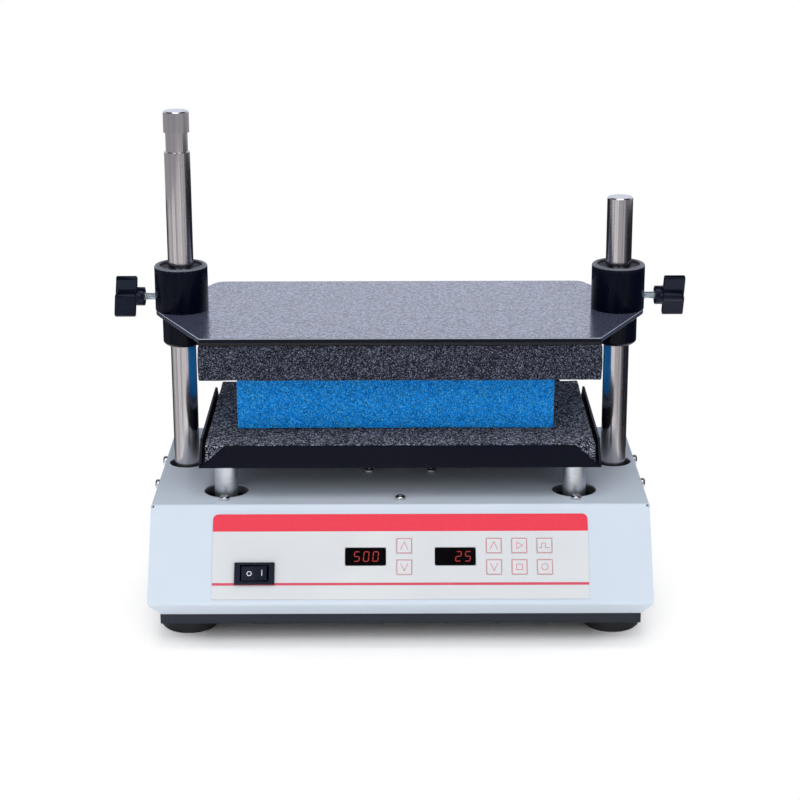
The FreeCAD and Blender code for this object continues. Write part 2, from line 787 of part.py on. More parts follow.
# Rear panel with the mains inlet and its vents
panel_slab = body_of("rear_slab")
panel_edge = "inner_half - fit_gap"
panel_foot = "base_half - 2 * sheet - fit_gap"
rear_outline = Outline(panel_slab, "rear_outline", "XZ_Plane", "-back_y")
rear_outline.polygon([
    (f"-({panel_foot})", "foot_height"), (panel_foot, "foot_height"), (panel_foot, "base_top"),
    (panel_edge, "nose_z + fit_gap"), (panel_edge, "under_deck - fit_gap"),
    (f"-({panel_edge})", "under_deck - fit_gap"), (f"-({panel_edge})", "nose_z + fit_gap"),
    (f"-({panel_foot})", "base_top"),
])
pad(panel_slab, rear_outline, "sheet")
inlet_hole = box("inlet_hole", ("inlet_x - inlet_body / 2 - fit_gap", "back_y - 2 * sheet",
                                "inlet_height - inlet_body_tall / 2 - fit_gap"),
                 ("inlet_body + 2 * fit_gap", "3 * sheet", "inlet_body_tall + 2 * fit_gap"))
VENTS = 9
vents = [box(f"vent_{k}", (f"vent_x + ({k} / {VENTS - 1} - 0.5) * vent_spread - vent_slot / 2",
                           "back_y - 2 * sheet", "inlet_height - vent_tall / 2"),
             ("vent_slot", "3 * sheet", "vent_tall")) for k in range(VENTS)]
node("rear_panel", cut("rear_panel", panel_slab, [inlet_hole] + vents + rear_holes("rear_hole")))
node("rear_screws", group("rear_screws", [
    pan_screw(f"rear_screw_{k}", x, "back_y", z, (1, 0, 0), "-90") for k, (x, z) in enumerate(rear_spots)]))

inlet = body_of("inlet_housing")
flange = Outline(inlet, "inlet_flange_outline", "XZ_Plane", "-back_y - inlet_flange")
flange.window("inlet_x", "inlet_height", "inlet_body + 2 * inlet_brim", "inlet_body_tall + 2 * inlet_brim")
flange.window("inlet_x", "inlet_height", "socket_width", "socket_tall")
pad(inlet, flange, "inlet_flange")
shell = Outline(inlet, "inlet_shell_outline", "XZ_Plane", "-back_y")
shell.window("inlet_x", "inlet_height", "inlet_body", "inlet_body_tall")
shell.window("inlet_x", "inlet_height", "socket_width", "socket_tall")
pad(inlet, shell, "socket_depth - inlet_flange")
floor = Outline(inlet, "inlet_floor_outline", "XZ_Plane", "-back_y + socket_depth - inlet_flange")
floor.window("inlet_x", "inlet_height", "inlet_body", "inlet_body_tall")
pad(inlet, floor, "2 * inlet_wall")
pin_spots = [("-pin_spread", "-pin_drop"), ("pin_spread", "-pin_drop"), ("0", "earth_rise")]
inlet_pins = [box(f"inlet_pin_{k}", (f"inlet_x + ({x}) - pin_width / 2", "inlet_floor",
                                     f"inlet_height + ({z}) - pin_tall / 2"),
                  ("pin_width", "pin_length", "pin_tall")) for k, (x, z) in enumerate(pin_spots)]
node("power_inlet", inlet)
node("inlet_pins", group("inlet_pins", inlet_pins))

# Power supply board on four short stands
supply_board = box("supply_board", ("supply_left", "supply_front", "supply_low"),
                   ("supply_width", "supply_depth", "board_thickness"))
stand_spots = [(x, y) for x in ("supply_left + board_edge", "supply_right - board_edge")
               for y in ("supply_front + board_edge", "supply_back - board_edge")]
stands = [bar(f"supply_stand_{k}", (x, y, "base_top"), "standoff_diameter", "supply_stand")
          for k, (x, y) in enumerate(stand_spots)]
core = box("supply_core", ("supply_left + board_edge", "supply_front + core_setback", "supply_top"),
           ("core_width", "core_depth", "core_height"))
can_spots = [f"supply_back - board_edge - can_diameter / 2 - {k} * (can_diameter + can_gap)" for k in (0, 1)]
can_x = "supply_left + supply_width / 2"
cans = [bar(f"supply_can_{k}", (can_x, y, "supply_top"), "can_diameter", "can_height")
        for k, y in enumerate(can_spots)]
sink_left = "supply_right - board_edge - sink_thickness"
sink = box("supply_sink", (sink_left, "supply_front + board_edge", "supply_top"),
           ("sink_thickness", "sink_depth", "sink_height"))
node("power_supply", group("power_supply", [supply_board, core, sink] + stands + cans))

# Guide rods and their sockets
def rod_profile(length):
    """A plain rod with chamfered ends."""
    return [("0", "0"), ("rod_radius", "0"), ("rod_radius", f"{length} - rod_chamfer"),
            ("rod_radius - rod_chamfer", length), ("0", length)]


groove_high = "long_rod_length - groove_drop"
grooved = rod_profile("long_rod_length")
grooved[2:2] = [("rod_radius", f"{groove_high} - groove_width"),
                ("rod_radius - groove_depth", f"{groove_high} - groove_width"),
                ("rod_radius - groove_depth", groove_high), ("rod_radius", groove_high)]
node("long_rod", place(turned("long_rod", grooved), "-rod_x", "rod_y", "rod_seat"))
node("short_rod", place(turned("short_rod", rod_profile("short_rod_length")), "rod_x", "rod_y", "rod_seat"))
sockets = []
for word, sign in SIDES:
    inner_end = "rod_x - socket_radius"
    outer_end = "base_half - socket_inset"
    foot_start = inner_end if sign == "1" else f"-({outer_end})"
    foot_block = box(f"socket_foot_{word}", (foot_start, "rod_y - socket_foot / 2", "base_top"),
                     (f"{outer_end} - ({inner_end})", "socket_foot", "rod_seat - base_top"))
    seat = (f"{sign} * rod_x", "rod_y", "rod_seat")
    cup = bar(f"socket_cup_{word}", seat, "2 * socket_radius", "socket_height")
    bore = bar(f"socket_bore_{word}", seat, "rod_diameter + 2 * socket_fit", f"socket_height + {OVERCUT}")
    sockets.append(fuse(f"socket_{word}", [foot_block, cut(f"socket_ring_{word}", cup, [bore])]))
node("rod_sockets", group("rod_sockets", sockets))

# Control panel: membrane overlay, display windows, keys and the mains switch
KEYS = {
    "speed_up_key": ("speed_key_x", "upper_key_drop"),
    "speed_down_key": ("speed_key_x", "lower_key_drop"),
    "time_up_key": ("time_key_x", "upper_key_drop"),
    "time_down_key": ("time_key_x", "lower_key_drop"),
    "run_key": ("run_key_x", "upper_key_drop"),
    "stop_key": ("run_key_x", "lower_key_drop"),
    "pulse_on_key": ("pulse_key_x", "upper_key_drop"),
    "pulse_off_key": ("pulse_key_x", "lower_key_drop"),
}
WINDOWS = {"speed_window": "speed_window_x", "time_window": "time_window_x"}

overlay = body_of("panel_overlay")
film = Outline(overlay, "overlay_outline", "XY_Plane")
film.rectangle("-overlay_half", "-overlay_low", "overlay_half", "-overlay_drop")
for x, drop in KEYS.values():
    film.window(x, f"-{drop}", "key_size", "key_size")
for x in WINDOWS.values():
    film.window(x, "-window_drop", "window_width", "window_height")
film.window("switch_x", "-switch_drop", "switch_body", "switch_body_tall")
film_pad = pad(overlay, film, "overlay_thickness")
doc.recompute()
film_box = film_pad.Shape.BoundBox
soften(overlay, film_pad, "overlay_corner",
       lambda edge: upright(edge) and edge.BoundBox.YMin > film_box.YMax - SMALL)
node("panel_overlay", on_panel(overlay))

for label, (x, drop) in KEYS.items():
    key = body_of(label)
    cap = Outline(key, label + "_outline", "XY_Plane", "overlay_thickness + key_proud - key_thickness")
    cap.window(x, f"-{drop}", "key_size - 2 * key_gap", "key_size - 2 * key_gap")
    pad(key, cap, "key_thickness")
    node(label, on_panel(key))

for label, x in WINDOWS.items():
    lens = body_of(label)
    pane = Outline(lens, label + "_outline", "XY_Plane")
    pane.window(x, "-window_drop", "window_width - 2 * key_gap", "window_height - 2 * key_gap")
    pad(lens, pane, "overlay_thickness + key_proud")
    node(label, on_panel(lens))

bezel = body_of("switch_bezel")
mouth = ("mouth_width", "mouth_tall")
rim = Outline(bezel, "bezel_rim", "XY_Plane", "overlay_thickness")
rim.window("switch_x", "-switch_drop", "mouth_width + 2 * bezel_side", "mouth_tall + 2 * bezel_edge")
rim.window("switch_x", "-switch_drop", *mouth)
pad(bezel, rim, "bezel_rise")
sleeve_size = ("switch_body - 2 * key_gap", "switch_body_tall - 2 * key_gap")
sleeve = Outline(bezel, "bezel_sleeve", "XY_Plane", "overlay_thickness - switch_body_depth")
sleeve.window("switch_x", "-switch_drop", *sleeve_size)
sleeve.window("switch_x", "-switch_drop", *mouth)
pad(bezel, sleeve, "switch_body_depth")
closing = Outline(bezel, "bezel_closing", "XY_Plane", "overlay_thickness - switch_body_depth - switch_wall")
closing.window("switch_x", "-switch_drop", *sleeve_size)
pad(bezel, closing, "switch_wall")
bearings = Outline(bezel, "stub_bores", "XZ_Plane", "switch_drop - rocker_height / 2 - stub_length - stub_gap")
bearings.circle("switch_x", "rocker_pivot", "stub_diameter + 2 * stub_gap")
bored = bezel.newObject("PartDesign::Pocket", "stub_bores_cut")
bored.Profile = bearings.sketch
bored.Reversed = True
bind(bored, "Length", "rocker_height + 2 * stub_length + 2 * stub_gap")
node("switch_bezel", on_panel(bezel))


def rocked(x, rise):
    """A corner of the rocker, turned about its pivot to the position at rest."""
    return (f"switch_x + ({x}) * cos(rock_angle) - ({rise}) * sin(rock_angle)",
            f"rocker_pivot + ({x}) * sin(rock_angle) + ({rise}) * cos(rock_angle)")


rocker = body_of("switch_rocker")
side_view = Outline(rocker, "rocker_profile", "XZ_Plane", "switch_drop - rocker_height / 2")
side_view.polygon([
    rocked("-rocker_width / 2", "rocker_end_rise"), rocked("rocker_taper - rocker_width / 2", "-rocker_root"),
    rocked("rocker_width / 2 - rocker_taper", "-rocker_root"), rocked("rocker_width / 2", "rocker_end_rise"),
    rocked("0", "rocker_dip"),
])
pad(rocker, side_view, "rocker_height")
for word, start in (("upper", "-rocker_height / 2 - stub_length"), ("lower", "rocker_height / 2")):
    stub = Outline(rocker, f"{word}_stub", "XZ_Plane", f"switch_drop + ({start})")
    pad(rocker, stub.circle("switch_x", "rocker_pivot", "stub_diameter"), "stub_length")
node("switch_rocker", on_panel(rocker))

board = body_of("board_sheet")
board_plan = Outline(board, "board_outline", "XY_Plane", "-board_depth - board_thickness")
board_plan.rectangle("board_left", "-board_low", "board_right", "-board_top")
pad(board, board_plan, "board_thickness")
modules = []
for label, x in WINDOWS.items():
    module = body_of(label + "_module")
    face = Outline(module, label + "_module_outline", "XY_Plane", "-board_depth")
    face.window(x, "-window_drop", "window_width - 2 * window_rim - 2 * module_gap",
                "window_height - 2 * window_rim - 2 * module_gap")
    pad(module, face, "board_depth - fit_gap")
    modules.append(on_panel(module))
node("control_board", group("control_board", [on_panel(board)] + modules))
standoffs = []
for k, (x, y) in enumerate([(x, y) for x in ("board_left + board_edge", "board_right - board_edge")
                            for y in ("-board_top - board_edge", "-board_low + board_edge")]):
    standoff = body_of(f"standoff_{k}")
    ring = Outline(standoff, f"standoff_{k}_outline", "XY_Plane", "-board_depth")
    ring.circle(x, y, "standoff_diameter")
    pad(standoff, ring, "board_depth - sheet")
    standoffs.append(on_panel(standoff))
node("board_standoffs", group("board_standoffs", standoffs))

# Drive: housing with two bearings, spindle with an eccentric pin, weight, pulleys, belt and motor
seat_radius = "bearing_outer / 2 + press_gap"
flange_low = "frame_low - housing_flange_thickness"
housing = turned("housing_turned", [
    (seat_radius, "frame_low"), ("flange_radius", "frame_low"), ("flange_radius", flange_low),
    ("bearing_outer / 2 + housing_wall", flange_low), ("bearing_outer / 2 + housing_wall", "housing_low"),
    (seat_radius, "housing_low"), (seat_radius, "housing_low + bearing_width"),
    ("housing_bore / 2", "housing_low + bearing_width"), ("housing_bore / 2", "frame_low - bearing_width"),
    (seat_radius, "frame_low - bearing_width"),
])
place(housing, "0", "rod_y")
node("spindle_housing", cut("spindle_housing", housing, top_holes("housing_hole", drive_spots)))


def ball_bearing(name, bore, outer_size, low, width):
    """A bearing as one ring with a groove between its two races on each face."""
    middle = f"(({bore}) + ({outer_size})) / 4"
    near, far = f"{middle} - race_gap / 2", f"{middle} + race_gap / 2"
    high = f"{low} + {width}"
    return turned(name, [
        (f"({bore}) / 2", low), (near, low), (near, f"{low} + race_dip"),
        (far, f"{low} + race_dip"), (far, low), (f"({outer_size}) / 2", low),
        (f"({outer_size}) / 2", high), (far, high), (far, f"{high} - race_dip"),
        (near, f"{high} - race_dip"), (near, high), (f"({bore}) / 2", high),
    ])


shaft_bore = "shaft_diameter + 2 * running_fit"
spindle_bearings = []
for k, low in enumerate(("housing_low", "frame_low - bearing_width")):
    bearing = ball_bearing(f"spindle_bearing_{k}", shaft_bore, "bearing_outer", low, "bearing_width")
    spindle_bearings.append(place(bearing, "0", "rod_y"))
node("spindle_bearings", group("spindle_bearings", spindle_bearings))
collar_low = "housing_low + bearing_width + fit_gap"
collar_high = "frame_low - bearing_width - fit_gap"
shoulder = "shaft_diameter / 2 + shaft_collar"
shaft = turned("spindle_shaft", [
    ("0", "pulley_low - shaft_end"), ("shaft_diameter / 2", "pulley_low - shaft_end"),
    ("shaft_diameter / 2", collar_low), (shoulder, collar_low), (shoulder, collar_high),
    ("shaft_diameter / 2", collar_high), ("shaft_diameter / 2", "shaft_top"), ("0", "shaft_top"),
])
place(shaft, "0", "rod_y")
crank_pin = bar("crank_pin", ("0", "tray_y", "shaft_top - pin_root"), "pin_diameter",
                "hub_top - shaft_top + pin_root")
node("spindle", fuse("spindle", [shaft, crank_pin]))


def pulley(name, diameter, bore):
    """A flat-belt pulley with two flanges."""
    rim_radius = f"({diameter}) / 2 + pulley_flange_rise"
    return turned(name, [
        (f"({bore}) / 2 + press_gap", "pulley_low"), (rim_radius, "pulley_low"),
        (rim_radius, "pulley_low + pulley_flange"), (f"({diameter}) / 2", "pulley_low + pulley_flange"),
        (f"({diameter}) / 2", "pulley_top - pulley_flange"), (rim_radius, "pulley_top - pulley_flange"),
        (rim_radius, "pulley_top"), (f"({bore}) / 2 + press_gap", "pulley_top"),
    ])


node("driven_pulley", place(pulley("driven_pulley", "driven_diameter", "shaft_diameter"), "0", "rod_y"))
node("motor_pulley", place(pulley("motor_pulley", "motor_pulley_diameter", "motor_shaft_diameter"),
                           "motor_x", "rod_y"))
disc = bar("weight_disc", ("0", "rod_y", "weight_low"), "2 * weight_radius", "weight_thickness")
cut_low = f"weight_low - {OVERCUT}"
cut_tall = f"weight_thickness + 2 * {OVERCUT}"
cut_reach = f"(weight_radius + {OVERCUT})"
bite = box("weight_bite", (f"-{cut_reach}", f"rod_y - {cut_reach}", cut_low),
           (f"2 * {cut_reach}", f"{cut_reach} - shaft_diameter / 2 - weight_web", cut_tall))
eye = bar("weight_eye", ("0", "rod_y", cut_low), "shaft_diameter + 2 * press_gap", cut_tall)
node("counterweight", cut("counterweight", disc, [bite, eye]))

motor_bore = "motor_shaft_diameter / 2 + running_fit"
boss_low = "motor_low - motor_boss_height"
node("motor", place(turned("motor", [
    (motor_bore, boss_low), ("motor_boss_diameter / 2", boss_low), ("motor_boss_diameter / 2", "motor_low"),
    ("motor_diameter / 2 - motor_chamfer", "motor_low"), ("motor_diameter / 2", "motor_low + motor_chamfer"),
    ("motor_diameter / 2", "frame_low"), (motor_bore, "frame_low"),
]), "motor_x", "rod_y"))
node("motor_shaft", bar("motor_shaft", ("motor_x", "rod_y", "pulley_low - motor_shaft_end"),
                        "motor_shaft_diameter", "frame_low - motor_shaft_gap - pulley_low + motor_shaft_end"))


def belt_loop(name, grow, low, tall):
    """The room inside a loop round both pulleys, grown out from their rims."""
    big = f"(driven_diameter / 2 + ({grow}))"
    small = f"(motor_pulley_diameter / 2 + ({grow}))"
    ends = [bar(name + "_big", ("0", "rod_y", low), f"2 * {big}", tall),
            bar(name + "_small", ("motor_x", "rod_y", low), f"2 * {small}", tall)]
    span = body_of(name + "_span")
    quad = Outline(span, name + "_span_outline", "XY_Plane", low)
    quad.polygon([
        (f"{big} * sin(belt_slope)", f"-{big} * cos(belt_slope)"),
        (f"motor_x + {small} * sin(belt_slope)", f"-{small} * cos(belt_slope)"),
        (f"motor_x + {small} * sin(belt_slope)", f"{small} * cos(belt_slope)"),
        (f"{big} * sin(belt_slope)", f"{big} * cos(belt_slope)"),
    ])
    pad(span, quad, tall)
    place(span, "0", "rod_y")
    return fuse(name, ends + [span])


belt_outside = belt_loop("belt_outside", "belt_gap + belt_thickness", "belt_low", "belt_tall")
belt_inside = belt_loop("belt_inside", "belt_gap", f"belt_low - {OVERCUT}", f"belt_tall + 2 * {OVERCUT}")
node("drive_belt", cut("drive_belt", belt_outside, [belt_inside]))

# Tray: floor with four flanges, posts on rubber mounts, hub with its bearing, and the foam
tray = body_of("tray")
tray_plan = Outline(tray, "tray_plan", "XY_Plane", "tray_low")
tray_plan.rectangle("-half_tray", "-half_deep", "half_tray", "half_deep")
tray_plan.circle("0", "0", "pin_diameter + 2 * pin_room")
pad(tray, tray_plan, "tray_sheet")


def flange_points(half):
    """A flange seen square on, with its two ends cut at a slant."""
    foot = f"({half} - flange_corner)"
    head = f"({half} - flange_corner - flange_slant)"
    return [(f"-{foot}", "tray_low"), (foot, "tray_low"), (foot, "tray_floor"), (head, "flange_top"),
            (f"-{head}", "flange_top"), (f"-{foot}", "tray_floor")]


for word, plane, offset, half in (("front", "XZ_Plane", "half_deep - tray_sheet", "half_tray"),
                                  ("back", "XZ_Plane", "-half_deep", "half_tray"),
                                  ("left", "YZ_Plane", "-half_tray", "half_deep"),
                                  ("right", "YZ_Plane", "half_tray - tray_sheet", "half_deep")):
    upstand = Outline(tray, f"{word}_flange", plane, offset).polygon(flange_points(half))
    pad(tray, upstand, "tray_sheet")
node("tray", place(tray, "0", "tray_y"))

posts = []
mounts = []
for k, (x, y) in enumerate(post_spots):
    posts.append(bar(f"post_{k}", (x, f"tray_y + {y}", "mount_top + seat_gap"), "post_diameter",
                     "tray_low - mount_top - seat_gap"))
    mount = turned(f"mount_{k}", [
        ("0", "base_top"), ("mount_diameter / 2", "base_top"),
        ("mount_diameter / 2", "base_top + mount_flange"),
        ("mount_waist / 2", "base_top + mount_flange + mount_taper"),
        ("mount_waist / 2", "mount_top - mount_flange - mount_taper"),
        ("mount_diameter / 2", "mount_top - mount_flange"), ("mount_diameter / 2", "mount_top"),
        ("0", "mount_top"),
    ])
    mounts.append(place(mount, x, f"rod_y + {y}"))
node("tray_posts", group("tray_posts", posts))
node("post_mounts", group("post_mounts", mounts))

hub_seat = "hub_bearing_outer / 2 + press_gap"
hub_eye = "pin_diameter / 2 + pin_room"
node("tray_hub", place(turned("tray_hub", [
    (hub_eye, "tray_floor"), ("tray_hub_diameter / 2", "tray_floor"), ("tray_hub_diameter / 2", "hub_top"),
    (hub_seat, "hub_top"), (hub_seat, "hub_bearing_low"), (hub_eye, "hub_bearing_low"),
]), "0", "tray_y"))
pin_bore = "pin_diameter + 2 * running_fit"
tray_bearing = ball_bearing("tray_bearing", pin_bore, "hub_bearing_outer", "hub_bearing_low",
                            "hub_bearing_width")
node("tray_bearing", place(tray_bearing, "0", "tray_y"))

pad_half = "half_tray - tray_sheet - pad_gap"
pad_deep = "half_deep - tray_sheet - pad_gap"
tray_pad = block("tray_pad_slab", (f"-({pad_half})", f"tray_y - ({pad_deep})", "tray_floor"),
                 (pad_half, f"tray_y + ({pad_deep})", "pad_top"), "pad_round")
hub_room = bar("hub_room", ("0", "tray_y", f"tray_floor - {OVERCUT}"), "tray_hub_diameter + 2 * hub_relief",
               f"hub_top - tray_floor + hub_relief + {OVERCUT}")
node("tray_pad", cut("tray_pad", tray_pad, [hub_room]))
rack_corner = ("rack_left - half_tray", "tray_y - half_deep + rack_front", "rack_low")
far_corner = ("half_tray - rack_right", "tray_y + half_deep - rack_front", "rack_top")
node("foam_rack", block("foam_rack", rack_corner, far_corner, "foam_round"))

# Clamp plate: hexagonal plate with two ears, collars with liners, and the foam below it
plate = body_of("top_plate")
plate_plan = Outline(plate, "plate_plan", "XY_Plane", "plate_low")
plate_plan.polygon([
    ("-half_front", "-half_plate"), ("half_front", "-half_plate"), ("ear_point", "0"),
    ("half_front", "half_plate"), ("-half_front", "half_plate"), ("-ear_point", "0"),
])
for _, sign in SIDES:
    plate_plan.circle(f"{sign} * rod_x", "0", "2 * spigot_radius + 2 * press_gap")
sheet_pad = pad(plate, plate_plan, "plate_thickness")
doc.recompute()
plan_box = sheet_pad.Shape.BoundBox
eared = soften(plate, sheet_pad, "ear_radius",
               lambda edge: upright(edge) and abs(edge.BoundBox.YMin) < SMALL
               and abs(abs(edge.BoundBox.XMin) - plan_box.XMax) < SMALL)
soften(plate, eared, "plate_corner",
       lambda edge: upright(edge) and edge.BoundBox.YMin > plan_box.YMax - SMALL)
node("top_plate", place(plate, "0", "rod_y"))

node("top_pad", block("top_pad", ("-half_pad", "rod_y - deep_pad", "top_pad_low"),
                      ("half_pad", "rod_y + deep_pad", "plate_low"), "foam_round"))

liner_room = "(liner_radius + press_gap)"
flange_room = "(liner_radius + liner_flange + press_gap)"
for word, sign in SIDES:
    body = turned(f"{word}_collar_turned", [
        (liner_room, "spigot_low"), ("spigot_radius - spigot_round", "spigot_low"),
        ("spigot_radius", "spigot_low + spigot_round"), ("spigot_radius", "plate_top"),
        ("collar_radius", "plate_top"), ("collar_radius", "collar_top - collar_edge"),
        ("collar_radius - collar_edge", "collar_top"), (flange_room, "collar_top"),
        (flange_room, "liner_seat"), (liner_room, "liner_seat"),
    ])
    place(body, f"{sign} * rod_x", "rod_y")
    liner = turned(f"{word}_liner_turned", [
        ("rod_radius + slide_fit", "spigot_low"), ("liner_radius", "spigot_low"),
        ("liner_radius", "liner_seat"), ("liner_radius + liner_flange", "liner_seat"),
        ("liner_radius + liner_flange", "liner_seat + liner_lip"),
        ("rod_radius + slide_fit", "liner_seat + liner_lip"),
    ])
    place(liner, f"{sign} * rod_x", "rod_y")
    for label, solid in ((f"{word}_collar", body), (f"{word}_liner", liner)):
        low_end = "rod_x" if sign == "1" else "-rod_x - 2 * collar_radius"
        thread = bar(f"{label}_thread", (low_end, "rod_y", "knob_z"), "stud_diameter + 2 * stud_fit",
                     "2 * collar_radius", "x")
        node(label, cut(label, solid, [thread]))

# Wing knobs with their studs and the tips that press the rods
for word, sign in SIDES:
    def outward(start, end):
        """The low end along X of a span that is measured outward from the machine's middle."""
        return start if sign == "1" else f"-({end})"

    knob = body_of(f"{word}_knob")
    hub = Outline(knob, f"{word}_hub_profile", "XZ_Plane")
    bore = "stud_diameter / 2 + press_gap"
    hub.polygon([(f"{sign} * ({x})", z) for x, z in (
        ("hub_start", bore), ("wing_start", bore), ("wing_start", "0"), ("wing_end - core_short", "0"),
        ("wing_end - core_short", "core_diameter / 2"), ("wing_start", "core_diameter / 2"),
        ("wing_start", "hub_diameter / 2"), ("hub_start", "hub_diameter / 2"))])
    spun = knob.newObject("PartDesign::Revolution", f"{word}_hub_turn")
    spun.Profile = hub.sketch
    spun.ReferenceAxis = (hub.sketch, ["H_Axis"])
    spun.Angle = 360.0
    wings = Outline(knob, f"{word}_wing_section", "YZ_Plane", outward("wing_start", "wing_end"))
    wings.polygon([
        ("-wing_offset - wing_tip / 2", "-wing_span / 2"), ("wing_tip / 2 - wing_offset", "-wing_span / 2"),
        ("wing_root / 2 - wing_offset", "0"), ("wing_offset + wing_root / 2", "0"),
        ("wing_offset + wing_tip / 2", "wing_span / 2"), ("wing_offset - wing_tip / 2", "wing_span / 2"),
        ("wing_offset - wing_root / 2", "0"), ("-wing_offset - wing_root / 2", "0"),
    ])
    wing_pad = pad(knob, wings, "wing_length")
    doc.recompute()
    wing_half = sheet.get("wing_span") / 2
    soften(knob, wing_pad, "wing_round", lambda edge: abs(edge.BoundBox.Center.z) > wing_half - SMALL)
    place(knob, "0", "rod_y", "knob_z")
    node(f"{word}_knob", turn(knob, (1, 0, 0), f"{sign} * {word}_knob_lean"))
    node(f"{word}_screw", bar(f"{word}_screw", (outward("stud_start", "wing_start"), "rod_y", "knob_z"),
                              "stud_diameter", "wing_start - stud_start", "x"))
    node(f"{word}_tip", bar(f"{word}_tip", (outward("tip_start", "stud_start"), "rod_y", "knob_z"),
                            "stud_diameter - 2 * tip_step", "tip_length", "x"))

doc.recompute()
for item in doc.Objects:
    if "Invalid" in item.State or "Error" in item.State:
        raise RuntimeError(f"{item.Label} could not be built: {item.State}")
for item in NODES:
    if item.Shape.isNull() or not item.Shape.isValid():
        raise RuntimeError(f"{item.Label} has no sound shape")
os.makedirs("parts", exist_ok=True)
for item in NODES:
    item.Shape.exportStep(f"parts/{item.Label}.step")
print(len(NODES), "pieces written")
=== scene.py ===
"""Multi-tube vortex mixer: its finishes, foams, panel print and studio.

Lengths are metres, +Z is up and the front looks towards -Y.
"""

import json
import logging
import math
from collections.abc import Iterable, Mapping, Sequence
from dataclasses import dataclass, field
from enum import Enum
from itertools import product
from typing import Any

import bpy
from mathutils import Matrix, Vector, noise


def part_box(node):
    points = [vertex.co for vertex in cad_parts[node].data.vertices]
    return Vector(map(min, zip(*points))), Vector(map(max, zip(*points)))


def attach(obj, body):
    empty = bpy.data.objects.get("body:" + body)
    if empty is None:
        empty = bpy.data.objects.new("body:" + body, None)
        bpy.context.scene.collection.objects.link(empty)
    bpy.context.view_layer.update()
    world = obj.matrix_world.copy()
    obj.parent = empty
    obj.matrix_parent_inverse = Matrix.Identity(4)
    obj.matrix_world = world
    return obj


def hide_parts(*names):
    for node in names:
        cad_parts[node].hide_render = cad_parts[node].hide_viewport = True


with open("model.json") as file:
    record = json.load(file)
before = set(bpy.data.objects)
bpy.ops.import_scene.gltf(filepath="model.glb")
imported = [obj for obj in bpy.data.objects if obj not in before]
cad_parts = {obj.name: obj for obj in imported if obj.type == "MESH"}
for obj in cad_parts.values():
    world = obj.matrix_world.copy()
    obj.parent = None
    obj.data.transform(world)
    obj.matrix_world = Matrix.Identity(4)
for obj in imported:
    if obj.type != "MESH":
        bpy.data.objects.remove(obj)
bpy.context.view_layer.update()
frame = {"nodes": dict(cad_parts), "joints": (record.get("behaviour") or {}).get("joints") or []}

LOG = logging.getLogger("vortex_mixer")
MM = 0.001
WELD_REACH = 0.01 * MM
FLAT_ANGLE = math.radians(0.3)
EDGE_ANGLE = math.radians(40)
WHITE = "#ffffff"

Point = tuple[float, float]
Colour = tuple[float, float, float, float]


def tint(code: str) -> Colour:
    """Turn a screen colour into the linear colour a shader takes.

    Args:
        code: the colour as "#rrggbb".

    Returns:
        Linear red, green, blue and an alpha of 1.
    """
    parts = [int(code[at : at + 2], 16) / 255 for at in (1, 3, 5)]
    linear = [part / 12.92 if part <= 0.04045 else ((part + 0.055) / 1.055) ** 2.4 for part in parts]
    return (linear[0], linear[1], linear[2], 1.0)


class Value:
    """A socket inside a shader; arithmetic on it adds Math nodes."""

    def __init__(self, shader: "Shader", socket: bpy.types.NodeSocket) -> None:
        """Keep the socket and the shader it belongs to."""
        self.shader = shader
        self.socket = socket

    def math(self, operation: str, first: "Value | float", second: "Value | float") -> "Value":
        """Add one Math node with two terms and give its result."""
        return self.shader.add("Math", {"operation": operation}, {0: first, 1: second})

    def __add__(self, other: "Value | float") -> "Value":
        """Add a term to this one."""
        return self.math("ADD", self, other)

    def __radd__(self, other: "Value | float") -> "Value":
        """Add this term to another."""
        return self.math("ADD", other, self)

    def __sub__(self, other: "Value | float") -> "Value":
        """Take a term from this one."""
        return self.math("SUBTRACT", self, other)

    def __rsub__(self, other: "Value | float") -> "Value":
        """Take this term from another."""
        return self.math("SUBTRACT", other, self)

    def __mul__(self, other: "Value | float") -> "Value":
        """Multiply this term by another."""
        return self.math("MULTIPLY", self, other)

    def __rmul__(self, other: "Value | float") -> "Value":
        """Multiply another term by this one."""
        return self.math("MULTIPLY", other, self)

    def ease(self, low: float, high: float) -> "Value":
        """Rise smoothly from 0 to 1 while this term goes from low to high."""
        inputs = {"Value": self, "From Min": low, "From Max": high}
        return self.shader.add("MapRange", {"interpolation_type": "SMOOTHSTEP"}, inputs)


